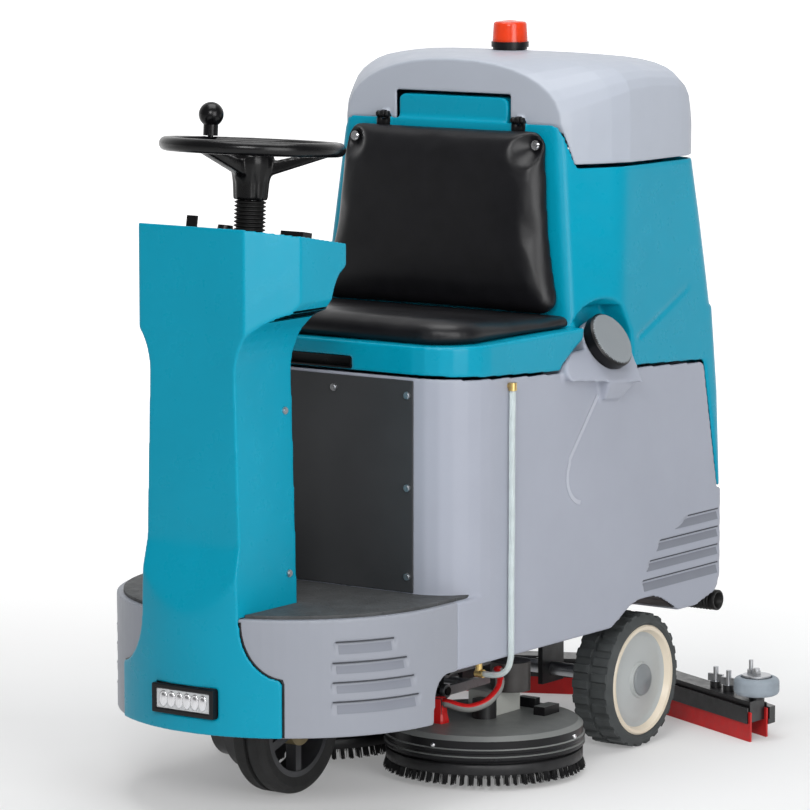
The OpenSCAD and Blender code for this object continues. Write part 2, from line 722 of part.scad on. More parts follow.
module level_fittings() at_frame() color("#b8934a") {
    top = tube_route[0];
    foot = tube_route[len(tube_route) - 1];
    rod_z(tube_d / 2 + 2, top.z, top.z + 14, top.x, top.y);
    rod_x(5, half_w, top.x, top.y, top.z + 8);
    rod_x(tube_d / 2 + 2, foot.x - 16, foot.x, foot.y, foot.z);
    rod_z(6, foot.z, body_floor, foot.x - 10, foot.y);
}

module rear_axle() at_frame() color(STEEL) {
    rod_x(axle_d / 2, -half_w + 20, half_w - 20, wheelbase, axle_z);
}

// Ribbed drain hose across the rear, under the body
hose_r = 20;
hose_bore_r = hose_r - 5;
hose_y = body_back - 16;
hose_z = body_floor - 2;
hose_ribs = 26;
hose_start = 118;
hose_pitch = 7;
hose_end = hose_start + hose_pitch * hose_ribs;
module drain_hose() at_frame() color(BLACK) difference() {
    union() {
        translate([0, hose_y, hose_z]) rotate([0, 90, 0]) rotate_extrude() polygon(concat(
            [[hose_r - 6, hose_start - 42], [hose_r - 1.5, hose_start - 42], [hose_r - 1.5, hose_start]],
            [for (i = [0:hose_ribs - 1]) each
                [[hose_r - 3, hose_start + hose_pitch * i + 1], [hose_r, hose_start + hose_pitch * (i + 0.5)]]],
            [[hose_r - 3, hose_end], [hose_r - 0.5, hose_end]],
            [[hose_r - 0.5, hose_end + 12], [hose_r - 6, hose_end + 12]]
        ));
        box([hose_start - 52, hose_y - 18, hose_z - 18], [hose_start - 40, hose_y + 10, hose_z + 18]);
        box([hose_start - 52, rail_back, hose_z - 18], [hose_start - 40, hose_y, body_floor - 2]);
    }
    rod_x(hose_bore_r, hose_start - 60, hose_end + 20, hose_y, hose_z);
}

act_z = arm_high_z + horn;
act_x = arm_x + arm_t + 9;
module deck_actuator() at_frame() color(STEEL) {
    difference() {
        union() {
            rod_y(15, arm_rear_y + 44, squeegee_pivot_y + 16, act_x, act_z);
            box([rail_in, arm_rear_y + 100, act_z], [act_x + 14, arm_rear_y + 130, rail_bottom]);
        }
        rod_y(7 + run_fit, arm_rear_y + 40, squeegee_pivot_y - 10, act_x, act_z);
    }
}

// Steering

spoke_angles = [30, 150, 270];
steer_r = (steer_d - steer_rim_t) / 2;
rim_up = 20;
module steering_wheel() at_frame() color(BLACK) steer_axis() {
    difference() {
        union() {
            translate([0, 0, rim_up]) rotate_extrude($fn = 72)
                translate([steer_r, 0]) circle(r = steer_rim_t / 2, $fn = 32);
            translate([0, 0, -72]) cylinder(r1 = 30, r2 = 32, h = 30);
            translate([0, 0, -42]) cylinder(r1 = 32, r2 = 38, h = 34);
            translate([0, 0, -8]) cylinder(r = 38, h = 16);
            for (a = spoke_angles) rotate([0, 0, a])
                front_prism(-11, 11, [[20, -34], [20, -8], [steer_r, rim_up + 6], [steer_r, rim_up - 7]]);
        }
        translate([0, 0, -80]) cylinder(r = shaft_d / 2, h = 74);
        rotate([0, 0, 0]) translate(knob_foot + [0, 0, -20]) cylinder(r = 5 + run_fit, h = 40);
    }
}
knob_foot = [steer_r * cos(157), steer_r * sin(157), rim_up];
module steering_shaft() at_frame() color(STEEL) steer_axis() {
    translate([0, 0, shaft_foot]) cylinder(r = shaft_d / 2, h = -shaft_foot - 6);
    translate([0, 0, shaft_foot - 6]) cylinder(r = 24, h = 8);
}
module spinner_knob() at_frame() color(BLACK) steer_axis() translate(knob_foot) {
    translate([0, 0, -10]) cylinder(r = 5, h = 30);
    translate([0, 0, steer_rim_t / 2 + 1]) cylinder(r = 13, h = 22);
    translate([0, 0, steer_rim_t / 2 + 38]) sphere(r = 22);
}
module lower_shaft() at_frame() color(STEEL) {
    rod_z(shaft_d / 2, chain_z - 6, lower_top - 5, 0, lower_y);
    rod_z(24, lower_top - 6, lower_top + 2.4, 0, lower_y);
    rod_z(small_sprocket_r - 2, chain_z, chain_z + chain_h, 0, lower_y);
}
module chain_outline(g) {
    c = atan((big_sprocket_r - small_sprocket_r) / -lower_y);
    both_r = [big_sprocket_r + g, small_sprocket_r + g];
    polygon(concat(
        arc([0, 0], both_r[0], -c, 180 + c, 24),
        arc([0, lower_y], both_r[1], 180 + c, 360 - c, 16)
    ));
}
module steering_chain() at_frame() color(DARK) {
    slab(chain_z, chain_z + chain_h) difference() {
        chain_outline(3);
        chain_outline(-1.6);
    }
}

module drive_fork() at_frame() color(BLACK) {
    leg = drive_wheel_w / 2 + 8;
    rod_z(king_d / 2, fork_plate_z - 1, head_top - 4, 0, 0);
    rod_z(big_sprocket_r - 2, chain_z, chain_z + chain_h, 0, 0);
    rod_z(king_d / 2 + 12, fork_plate_z, chain_z + 1, 0, 0);
    box([-leg - 34, -45, fork_plate_z - 12 + 2], [46, 45, fork_plate_z + 12 - 4]);
    box([-leg - 34, -45, drive_z], [-leg, 45, fork_plate_z]);
    rod_x(84, -leg - 34, -leg, 0, drive_z);
    rod_x(15, -leg - 1, drive_wheel_w / 2 - 22, 0, drive_z);
}
module drive_motor() at_frame() color(STEEL) {
    leg = drive_wheel_w / 2 + 42;
    rod_x(66, -leg - 44, -leg, 0, drive_z);
    rod_x(50, -leg - 50, -leg - 44, 0, drive_z);
}
function drive_profile() = let (w = drive_wheel_w / 2, r = drive_z) concat(
    [[r - 30, -w + 4], [r - 14, -w]],
    arc([r - 12, -w + 12], 12, -90, 0, 4),
    [[r, -5], [r - 6, -3], [r - 6, 3], [r, 5]],
    arc([r - 12, w - 12], 12, 0, 90, 4),
    [[r - 14, w], [r - 30, w - 4]]
);
module drive_tyre() at_frame() color(BLACK)
    translate([0, 0, drive_z]) rotate([0, 90, 0]) rotate_extrude($fn = 72) polygon(drive_profile());
module drive_hub() at_frame() color("#9a8450") translate([0, 0, drive_z]) rotate([0, 90, 0]) {
    w = drive_wheel_w / 2;
    difference() {
        union() {
            difference() {
                translate([0, 0, -w + 4]) cylinder(r = drive_z - 30, h = 2 * w - 8);
                translate([0, 0, -w]) cylinder(r = drive_z - 40, h = 2 * w);
            }
            for (a = [0:72:288]) rotate([0, 0, a]) translate([20, -8, w - 28]) cube([drive_z - 54, 16, 22]);
            translate([0, 0, -w + 6]) cylinder(r = 32, h = 2 * w - 6);
        }
        translate([0, 0, -w]) cylinder(r = 15 + run_fit, h = 2 * w - 20);
    }
}

hub_r = rear_wheel_d * 0.41;
lugs = 26;
module lug_ring(h, shift) {
    linear_extrude(h) difference() {
        polygon([for (i = [0:lugs - 1]) for (k = [[0, -4.5], [0.1, 0], [0.56, 0], [0.66, -4.5]])
            (axle_z + k[1]) * [cos((i + k[0] + shift) * 360 / lugs), sin((i + k[0] + shift) * 360 / lugs)]]);
        circle(r = axle_z - 12);
    }
}
module rear_tyre(s) at_frame() color("#5b5f61")
    scale_x(s) translate([half_w - 1 - rear_wheel_w, wheelbase, axle_z]) rotate([0, 90, 0]) {
        w = rear_wheel_w;
        rotate_extrude($fn = 72) polygon(concat(
            [[hub_r, 4], [axle_z - 16, 0]],
            [[axle_z - 5, 8], [axle_z - 5, w - 8], [axle_z - 16, w], [hub_r, w - 4]]
        ));
        translate([0, 0, 8]) lug_ring(w * 0.36, 0);
        translate([0, 0, w * 0.64 - 8]) lug_ring(w * 0.36, 0.5);
    }
module rear_hub(s) at_frame() color("#e9e4d6")
    scale_x(s) translate([half_w - 1 - rear_wheel_w, wheelbase, axle_z]) rotate([0, 90, 0]) {
        w = rear_wheel_w;
        rotate_extrude($fn = 72) polygon([
            [axle_d / 2 + run_fit, 2], [40, 2], [40, 30], [hub_r - 14, 30], [hub_r - 14, 6], [hub_r, 6],
            [hub_r, w - 5], [hub_r - 3, w - 2], [hub_r - 9, w - 3], [hub_r - 14, w - 14], [hub_r - 24, w - 18],
            [34, w - 12], [32, w - 6], [0, w - 5], [0, w - 18], [axle_d / 2 + run_fit, w - 18]
        ]);
    }
module rear_tyre_l() rear_tyre(1);
module rear_tyre_r() rear_tyre(-1);
module rear_hub_l() rear_hub(1);
module rear_hub_r() rear_hub(-1);

// Brush deck

module arm_bar(z) {
    difference() {
        union() {
            rod_x(13, arm_x, arm_x + arm_t, arm_rear_y, z);
            rod_x(13, arm_x, arm_x + arm_t, arm_front_y, z);
            box([arm_x, arm_front_y, z - 9], [arm_x + arm_t, arm_rear_y, z + 9]);
        }
        rod_x(pin_d / 2 + run_fit, arm_x - 1, arm_x + arm_t + 1, arm_rear_y, z);
        rod_x(pin_d / 2 + run_fit, arm_x - 1, arm_x + arm_t + 1, arm_front_y, z);
    }
}
module deck_arms_upper() at_frame() color(STEEL) {
    sides() arm_bar(arm_high_z);
    rod_x(8, -arm_x, arm_x, arm_rear_y - 60, arm_high_z);
    difference() {
        box([arm_x, arm_rear_y - 9, arm_high_z + 9], [arm_x + arm_t - 2, arm_rear_y + 9, act_z]);
        rod_x(pin_d / 2 + run_fit, arm_x - 1, arm_x + arm_t + 1, arm_rear_y, arm_high_z);
    }
    rod_x(5, arm_x, act_x + 6, arm_rear_y, act_z);
}
module deck_arms_lower() at_frame() color(STEEL) {
    sides() arm_bar(arm_low_z);
    rod_x(8, -arm_x, arm_x, arm_rear_y - 85, arm_low_z);
}
module deck_rod() at_frame() color("#c9ccd0") {
    rod_y(7, arm_rear_y + 12, squeegee_pivot_y - 20, act_x, act_z);
    difference() {
        box([act_x - 5, arm_rear_y - 12, act_z - 12], [act_x + 5, arm_rear_y + 14, act_z + 12]);
        rod_x(6.2, act_x - 8, act_x + 8, arm_rear_y, act_z);
    }
}
module deck_covers() at_frame() color(BLACK) {
    difference() {
        union() {
            sides() translate([brush_x, brush_y, 0]) rotate_extrude($fn = 72) polygon(concat(
                [[0, cover_top - 6], [cover_r - 12, cover_top - 6], [cover_r - 6, cover_top - 12]],
                [[cover_r - 6, disc_bottom + 6], [cover_r - 2, disc_bottom + 4], [cover_r + 2, disc_bottom + 8]],
                [[cover_r + 2, disc_bottom + 13], [cover_r - 1, disc_bottom + 15], [cover_r - 1, disc_bottom + 19]],
                [[cover_r + 2, disc_bottom + 21], [cover_r + 2, disc_bottom + 26], [cover_r - 1, disc_bottom + 28]],
                [[cover_r - 1, cover_top - 8], [cover_r - 10, cover_top], [0, cover_top]]
            ));
            box([-brush_x, brush_y - 50, cover_top - 6], [brush_x, brush_y + 66, cover_top]);
            sides() {
                box([22, arm_front_y - 40, cover_top - 6], [30, arm_front_y + 16, arm_high_z + 14]);
                rod_x(pin_d / 2, 22, arm_x + arm_t + 2, arm_front_y, arm_low_z);
                rod_x(pin_d / 2, 22, arm_x + arm_t + 2, arm_front_y, arm_high_z);
                box([brush_x + 60, brush_y + 70, cover_top - 1], [brush_x + 84, brush_y + 118, cover_top + 16]);
                box([brush_x - 8, brush_y + 120, cover_top - 1], [brush_x + 30, brush_y + 136, cover_top + 18]);
            }
        }
        sides() rod_z(17, cover_top - 20, cover_top + 30, brush_x, brush_y);
    }
}
module brush_motors() at_frame() color("#b9bab3") {
    sides() {
        difference() {
            union() {
                rod_z(22, cover_top, cover_top + 34, brush_x, brush_y);
                box([brush_x - 46, brush_y + 16, cover_top], [brush_x + 10, brush_y + 100, cover_top + 44]);
                rod_z(motor_r, cover_top + 43, cover_top + motor_h, brush_x + motor_at.x, brush_y + motor_at.y);
                rod_z(10, cover_top + 43, cover_top + 84, brush_x - 34, brush_y + 86);
            }
            rod_z(12 + run_fit, cover_top - 1, cover_top + 30, brush_x, brush_y);
        }
        translate([brush_x + lug_at.x, brush_y + lug_at.y, cover_top])
            box([-lug_w / 2, -lug_w / 2, 0], [lug_w / 2, lug_w / 2, 46]);
    }
}
// Grey cable and red wire from the lug to the motor, one each side
lug_w = 18;
lug_at = [-38, -85];
cable_r = 8;
module deck_cable() at_frame() color("#7d7f80") {
    sides() {
        base = [brush_x, brush_y, cover_top];
        p = [for (q = [
            [lug_at.x + lug_w / 2 + 0.3, -85, 37], [-16, -85, 37], [-3, -81, 33], [13, -71, 30], [26, -59, 33],
            [36, -45, 39.5], [40, -27, 50], [38, -9, 61], [31, 4, 73], [21, 11, 81],
            [motor_at.x, 18, 84], [motor_at.x, motor_at.y - motor_r - 0.3, 84]
        ]) base + q];
        loft([for (i = [0:len(p) - 1])
            let (
                d = unit(p[min(i + 1, len(p) - 1)] - p[max(i - 1, 0)]),
                u = unit(cross([0, 0, 1], d)),
                v = cross(d, u)
            )
            [for (j = [0:9]) p[i] + cable_r * (u * cos(36 * j) + v * sin(36 * j))]]);
    }
}
module brush_disc(s) at_frame() color(BLACK) scale_x(s) {
    rod_z(brush_d / 2 - 14, disc_bottom, disc_bottom + 12, brush_x, brush_y);
    rod_z(16, disc_bottom + 11, cover_top - move_gap, brush_x, brush_y);
    rod_z(12, disc_bottom + 11, cover_top + 28, brush_x, brush_y);
}
// Bristle tufts: rings of four-sided strands that lean outward
bristle_rings = [for (r = [[115, 28], [81, 42], [49, 54], [21, 72]]) [brush_d / 2 - r[0], r[1]]];
bristle_slice = 4;
module bristles(s) at_frame() color("#111213") scale_x(s) translate([brush_x, brush_y, 0]) {
    translate([0, 0, disc_bottom - bristle_slice]) cylinder(r = brush_d / 2 - 14, h = bristle_slice);
    lean = brush_d / 2 - 3 - bristle_rings[3][0];
    tufts = [for (ring = bristle_rings) for (i = [0:ring[1] - 1])
        let (a = 360 * i / ring[1], out = lean * pow(ring[0] / bristle_rings[3][0], 3))
        [for (k = [[brush_lift, ring[0] + out, 2.6], [disc_bottom - bristle_slice + 1, ring[0], 3.6]])
            for (c = [[1, 1], [-1, 1], [-1, -1], [1, -1]])
            [(k[1] + c.x * k[2]) * cos(a) - c.y * k[2] * sin(a),
             (k[1] + c.x * k[2]) * sin(a) + c.y * k[2] * cos(a), k[0]]]];
    faces = [for (n = [0:len(tufts) - 1]) each concat(
        [for (j = [0:3]) each [[8 * n + j, 8 * n + 4 + j, 8 * n + (j + 1) % 4],
            [8 * n + (j + 1) % 4, 8 * n + 4 + j, 8 * n + 4 + (j + 1) % 4]]],
        [[8 * n, 8 * n + 1, 8 * n + 2], [8 * n, 8 * n + 2, 8 * n + 3]],
        [[8 * n + 6, 8 * n + 5, 8 * n + 4], [8 * n + 7, 8 * n + 6, 8 * n + 4]]
    )];
    polyhedron([for (t = tufts) each t], faces, convexity = 10);
}
module brush_disc_l() brush_disc(1);
module brush_disc_r() brush_disc(-1);
module bristles_l() bristles(1);
module bristles_r() bristles(-1);

// Squeegee

function chevron(y0, y1, half) =
    let (end = squeegee_apex - squeegee_sweep * half / squeegee_half)
    both([[0, squeegee_apex + y0], [half, end + y0], [half, end + y1], [0, squeegee_apex + y1]]);
end_y = squeegee_apex - squeegee_sweep;
roller_at = [squeegee_half - 8, end_y + 10];
module squeegee_arm() at_frame() color(DARK) {
    difference() {
        union() {
            rod_x(15, -31, 31, squeegee_pivot_y, squeegee_pivot_z);
            box([-20, squeegee_pivot_y, squeegee_pivot_z - 12], [20, squeegee_apex - 20, squeegee_pivot_z + 12]);
            box([-20, squeegee_apex - 60, squeegee_top], [20, squeegee_apex - 20, squeegee_pivot_z + 12]);
        }
        rod_x(pin_d / 2 + run_fit, -32, 32, squeegee_pivot_y, squeegee_pivot_z);
    }
}
port_at = [78, squeegee_apex - 38];
module squeegee_frame() at_frame() color(BLACK) {
    outer = frame_half_t + blade_t;
    difference() {
        union() {
            slab(squeegee_low, squeegee_top) polygon(chevron(-frame_half_t, frame_half_t, squeegee_half));
            slab(squeegee_top - 6, squeegee_top) polygon(chevron(-frame_half_t - 24, frame_half_t, 120));
            rod_z(30, squeegee_top - 1, squeegee_top + 72, port_at.x, port_at.y);
            sides() {
                roller_mount();
                for (k = [88, 128]) translate([squeegee_half - k, end_y + k * squeegee_sweep / squeegee_half, 0])
                    wing_nut();
            }
        }
        rod_z(22, 0, squeegee_top + 80, port_at.x, port_at.y);
    }
    for (y = [-outer - clamp_t, outer])
        slab(squeegee_low, squeegee_top - 10) polygon(chevron(y, y + clamp_t, squeegee_half));
    intersection() {
        slab(squeegee_low - 10, squeegee_low) polygon(chevron(outer, outer + clamp_t + 20, squeegee_half + 8));
        sides() box([squeegee_half - 34, 0, 0], [squeegee_half + 8, squeegee_apex, squeegee_top]);
    }
    intersection() {
        slab(squeegee_low, squeegee_top - 18)
            polygon(chevron(outer + clamp_t, outer + clamp_t + 20, squeegee_half + 8));
        sides() box([squeegee_half - 34, 0, 0], [squeegee_half + 8, squeegee_apex, squeegee_top]);
    }
}
// Fixed axle of a wall roller, with the plate and bolts above it
module roller_mount() translate([roller_at.x, roller_at.y, squeegee_top]) {
    over = roller_up + roller_h + move_gap;
    translate([0, 0, -1]) cylinder(r = 6, h = over + 16);
    translate([0, 0, -1]) cylinder(r = 14, h = roller_up + 1 - move_gap);
    translate([0, 0, over]) cylinder(r = 27, h = 3);
    translate([0, 0, over + 2]) cylinder(r = 9, h = 8, $fn = 6);
    translate([-17, 8, over + 2]) cylinder(r = 4, h = 26);
    translate([-17, 8, over + 2]) cylinder(r = 8, h = 8, $fn = 6);
}
module wing_nut() {
    rod_z(5, squeegee_top - 1, squeegee_top + 40, 0, 0);
    rod_z(11, squeegee_top - 1, squeegee_top + 12, 0, 0);
    box([-16, -3, squeegee_top + 12], [16, 3, squeegee_top + 26]);
}
module squeegee_blades() at_frame() color("#c4161c") {
    for (y = [-frame_half_t - blade_t, frame_half_t])
        slab(0, blade_h) polygon(chevron(y, y + blade_t, squeegee_half + 6));
}
module squeegee_roller(s) at_frame() color("#7c8794")
    scale_x(s) translate([roller_at.x, roller_at.y, squeegee_top + roller_up]) rotate_extrude() polygon(concat(
        [[6 + run_fit, 0], [18, 0], [18, 8], [roller_d / 2 - 14, 8], [roller_d / 2 - 12, 0]],
        arc([roller_d / 2 - 10, 10], 10, -90, 0, 5),
        arc([roller_d / 2 - 10, roller_h - 10], 10, 0, 90, 5),
        [[roller_d / 2 - 13, roller_h], [roller_d / 2 - 13, roller_h - 6], [6 + run_fit, roller_h - 6]]
    ));
module squeegee_roller_l() squeegee_roller(1);
module squeegee_roller_r() squeegee_roller(-1);

// Recovery tank, seat and lid

hump_half = 121;
hump_y = front_y(tank_top) + 6;
hump_back = 640;
hump_top = tank_top + 43;
knuckle_x = [136, 164];
lug_r = 7;
inlet = [110, 1010];
module recovery_tank() at_frame() color(TEAL) {
    difference() {
        union() {
            intersection() {
                loft([for (z = [hinge_z + 1, 640, 720, rim_top]) level(rim_ring(z, 0), z)]);
                side_prism(-half_w, half_w, concat(
                    seam(seam_gap), [[body_back + 20, 900], [body_front - 20, 900]]
                ));
            }
            difference() {
                loft([for (z = tank_levels) level(tank_ring(z, 0), z)]);
                side_prism(-half_w, half_w, concat(tank_edge(0), [[body_back, 1400], [tank_front - 40, 1400]]));
                sides() rod_x(lug_r + 2, knuckle_x[0] - 2, knuckle_x[1] + 2, lid_hinge_y, lid_hinge_z);
            }
            intersection() {
                box([-hump_half, hump_y, rim_top + 250], [hump_half, hump_back, hump_top]);
                front_prism(hump_y - 1, hump_back + 1, rounded(
                    both([[hump_half, 1000], [hump_half, hump_top]]), [0, 14, 14, 0]
                ));
            }
            sides() {
                rod_x(hinge_r, 60, 118, hinge_y, hinge_z);
                rod_x(hinge_r, 182, 240, hinge_y, hinge_z);
                box([60, body_back - 6, hinge_z + 3], [118, hinge_y, hinge_z + 6]);
                box([182, body_back - 6, hinge_z + 3], [240, hinge_y, hinge_z + 6]);
                box([60, body_back - 12, hinge_z + 3], [240, body_back, hinge_z + 30]);
                for (x = [knuckle_x[0], knuckle_x[1] - 6]) {
                    rod_x(lug_r, x, x + 6, lid_hinge_y, lid_hinge_z);
                    box([x, lid_hinge_y, lid_hinge_z - 24], [x + 6, lid_hinge_y + 9, lid_hinge_z]);
                }
                rod_x(4, knuckle_x[0], knuckle_x[1], lid_hinge_y, lid_hinge_z);
            }
            rod_y(30, rear_y(inlet.y) - 20, rear_y(inlet.y) + 34, inlet.x, inlet.y);
        }
        difference() {
            loft([for (z = [hinge_z - 10, 640, 720, rim_top - tank_wall]) level(rim_ring(z, tank_wall), z)]);
            filler_recess(tank_wall);
        }
        difference() {
            loft([for (z = concat([rim_top + tank_wall + 4], [for (i = [1:6]) tank_levels[i]], [tank_top + 30]))
                level(tank_ring(z, tank_wall), z)]);
            box([-hump_half, tank_front, rim_top + 250], [hump_half, hump_back, hump_top]);
            filler_recess(tank_wall);
        }
        box([-hump_half + 5, hump_y + 5, rim_top + 200], [hump_half - 5, hump_back - 5, hump_top - 5]);
        filler_recess(0);
        sides() side_prism(half_w - 2.5, half_w + 1, [[652, 772], [660, 762], [838, 842], [830, 852]]);
        box([-grip_half, body_front - 1, grip_z], [grip_half, body_front + 26.2, grip_z + 22]);
        rod_y(24, rear_y(inlet.y) - 40, rear_y(inlet.y) + 40, inlet.x, inlet.y);
        sides() rod_x(3 + run_fit, 50, 250, hinge_y, hinge_z);
    }
}
// Rounded seat outline, inset by d, with sides drawn in by w
seat_back = tank_front - 8;
seat_fall = 0.58;
function seat_ring(d, w, up) =
    let (x = half_w - 14 - d, y0 = body_front + 14 + d, y1 = seat_back - d, m = (y1 - y0) / 4)
    [for (p = rounded(
        both([
            [x * 0.5, y0 + w * 0.6], [x, y0], [x - w * 0.75, y0 + m * 1.6], [x - w, y0 + 2 * m],
            [x - w * 0.75, y0 + 3 * m], [x, y1], [x * 0.5, y1]
        ]),
        twice([0, max(body_corner_r - 16 - d, 12), 0, 0, 0, max(22 - d, 4), 0]), 5
    )) [p.x, p.y, rim_top + 0.3 + seat_h * up * (1 - seat_fall * (p.y - y0) / (y1 - y0))]];
module seat_cushion() at_frame() color(BLACK) {
    loft([
        seat_ring(7, 3, 0), seat_ring(1, 5, 0.2), seat_ring(0, 6, 0.45), seat_ring(4, 5, 0.72),
        seat_ring(14, 4, 0.88), seat_ring(40, 2, 0.96), seat_ring(90, 1, 1)
    ]);
}
// Backrest outline in its own leaning plane, inset by d
back_h = tank_top - rim_top - 6;
back_foot = seat_h * (1 - seat_fall);
// Bolts in the backrest's upper corners, each at the foot of a dimple
back_bolt = [201, back_h - 32, backrest_t * 0.32];
function back_ring(d, w, t) =
    [for (p = rounded(
        both([[268 - d, back_foot + d], [243 - d - w, back_h * 0.45], [222 - d, back_h - d]]),
        twice([max(26 - d, 6), 300, max(34 - d, 8)]), 6
    )) [p.x, p.y, t]];
module lean_plane()
    translate([0, tank_front - 0.6, rim_top]) rotate([-tank_lean, 0, 0]) rotate([90, 0, 0]) children();
module backrest() at_frame() color(BLACK) lean_plane() difference() {
    loft([
        back_ring(22, 2, 0), back_ring(2, 3, backrest_t * 0.12), back_ring(0, 4, backrest_t * 0.28),
        back_ring(6, 3, backrest_t * 0.54), back_ring(18, 2, backrest_t * 0.76), back_ring(50, 1, backrest_t * 0.92),
        back_ring(100, 0, backrest_t)
    ]);
    sides() translate(back_bolt) cylinder(r1 = 11, r2 = 26, h = backrest_t);
}
module seat_fittings() at_frame() color(STEEL) {
    lean_plane() sides() translate(back_bolt) bolt_head(9, 7);
    difference() {
        box([-grip_half + 0.2, body_front + 1, grip_z + 0.2], [grip_half - 0.2, body_front + 26, grip_z + 21.8]);
        box([-grip_half + 3, body_front, grip_z + 3], [grip_half - 3, body_front + 23, grip_z + 19]);
    }
}
grip_half = 86;
grip_z = seam_front + 5;
module vacuum_motor() at_frame() color(DARK) {
    rod_z(52, hump_top - 130, hump_top - 5, 0, (hump_y + hump_back) / 2);
    rod_z(40, hump_top - 160, hump_top - 129, 0, (hump_y + hump_back) / 2);
}

lid_wall = 5;
module tank_lid() at_frame() color(LID_GREY) {
    sides() difference() {
        union() {
            rod_x(lug_r, knuckle_x[0] + 7, knuckle_x[1] - 7, lid_hinge_y, lid_hinge_z);
            box([knuckle_x[0] + 7, lid_hinge_y, lid_hinge_z + 1], [knuckle_x[1] - 7, lid_y + 4, lid_hinge_z + lug_r]);
            box([knuckle_x[0] + 7, lid_y + 1, lid_hinge_z + 1], [knuckle_x[1] - 7, lid_y + 4, lid_hinge_z + 16]);
        }
        rod_x(4 + run_fit, knuckle_x[0], knuckle_x[1], lid_hinge_y, lid_hinge_z);
    }
    difference() {
        loft([for (s = lid_stations) lid_ring(s, 0)]);
        loft([for (s = [5, 14, 44, 84, 124, 184, 284, 314, 332]) lid_ring(s, lid_wall)]);
        side_prism(-half_w, half_w, concat(tank_edge(lid_gap), [[body_back, 1000], [tank_front - 40, 1000]]));
        box([-hump_half - 6, lid_y - 5, 1100], [hump_half + 6, lid_y + 12, hump_top + 6]);
        sides() rod_x(lug_r + 2, knuckle_x[0] - 2, knuckle_x[1] + 2, lid_hinge_y, lid_hinge_z);
    }
}
module beacon_base() at_frame() color(BLACK) {
    z = tank_top + lid_rise;
    translate([0, 702, z + 0.3]) {
        cylinder(r = beacon_d / 2 - 3, h = 6);
        translate([0, 0, 5]) cylinder(r = beacon_d / 2, h = 10);
    }
}
module beacon_lens() at_frame() color("#e8351a") translate([0, 702, tank_top + lid_rise + 15.3])
    rotate_extrude() polygon(concat(
        [[0, 0], [beacon_d / 2 - 2, 0]],
        arc([beacon_d / 2 - 10, beacon_h - 24], 6, 0, 70, 4),
        [[0, beacon_h - 15]]
    ));

module filler_cap() at_frame() color(BLACK) cap_axis() {
    translate([0, 0, -13.7]) cylinder(r = cap_d / 2 - 4, h = 8);
    translate([0, 0, -6]) cylinder(r = cap_d / 2, h = 14);
    translate([0, 0, 8]) cylinder(r1 = cap_d / 2, r2 = cap_d / 2 - 5, h = 5);
    translate([0, 0, -34]) cylinder(r = cap_d / 2 - 15, h = 24);
}

// Controls

module dash_key() at_frame() color(STEEL) dash_axis(key_at.x, key_at.y) {
    translate([0, 0, -14]) cylinder(r = key_r, h = 20);
    translate([-11, -2, 5]) cube([22, 4, 26]);
}
module dash_knob() at_frame() color(BLACK) dash_axis(knob_at.x, knob_at.y) {
    translate([0, 0, -14]) cylinder(r = 5, h = 16);
    translate([0, 0, 1]) cylinder(r1 = 15, r2 = 13, h = 17);
}
module dash_rocker() at_frame() color(BLACK) {
    dash_axis(rocker_at.x, rocker_at.y) translate([-24, -13, 0.3]) cube([48, 26, 14]);
    dash_axis(button_at.x, button_at.y) translate([0, 0, 0.3]) cylinder(r = 13, h = 7);
}
pedal_at = [-150, -6, base_top + mat_h + 14];
pedal_half = 30;
pedal_pin_r = 4;
// Bracket on the foot mat that carries the pedal's pin
module pedal_bracket() translate(pedal_at) {
    box([-pedal_half - 10, -18, -14], [pedal_half + 10, 18, -11]);
    for (x = [-pedal_half - 8, pedal_half + 2]) side_prism(x, x + 6, [[-14, -12], [14, -12], [6, 8], [-6, 8]]);
    rod_x(pedal_pin_r, -pedal_half - 9, pedal_half + 9, 0, 0);
}
module drive_pedal() at_frame() color(BLACK) translate(pedal_at) difference() {
    union() {
        rod_x(9, -pedal_half, pedal_half, 0, 0);
        side_prism(-pedal_half, pedal_half, [[-4, -2], [-118, 42], [-121, 50], [4, 7]]);
    }
    rod_x(pedal_pin_r + run_fit, -pedal_half - 1, pedal_half + 1, 0, 0);
}

chassis_frame();
base_shell();
body_shell();
foot_mat();
fascia();
column_back();
dash_panel();
steering_column();
steering_boot();
headlight_bezel();
headlight_lens();
kick_panel();
fixings();
battery_pack();
level_tube();
level_fittings();
rear_axle();
drain_hose();
deck_actuator();
steering_chain();
steering_wheel();
steering_shaft();
spinner_knob();
lower_shaft();
drive_fork();
drive_motor();
drive_tyre();
drive_hub();
rear_tyre_l();
rear_tyre_r();
rear_hub_l();
rear_hub_r();
deck_arms_upper();
deck_arms_lower();
deck_rod();
deck_covers();
brush_motors();
deck_cable();
brush_disc_l();
brush_disc_r();
bristles_l();
bristles_r();
squeegee_arm();
squeegee_frame();
squeegee_blades();
squeegee_roller_l();
squeegee_roller_r();
recovery_tank();
seat_cushion();
backrest();
seat_fittings();
vacuum_motor();
tank_lid();
beacon_base();
beacon_lens();
filler_cap();
dash_key();
dash_knob();
dash_rocker();
drive_pedal();
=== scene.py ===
import math

import bmesh
import bpy
import numpy as np
from mathutils import Matrix, Vector


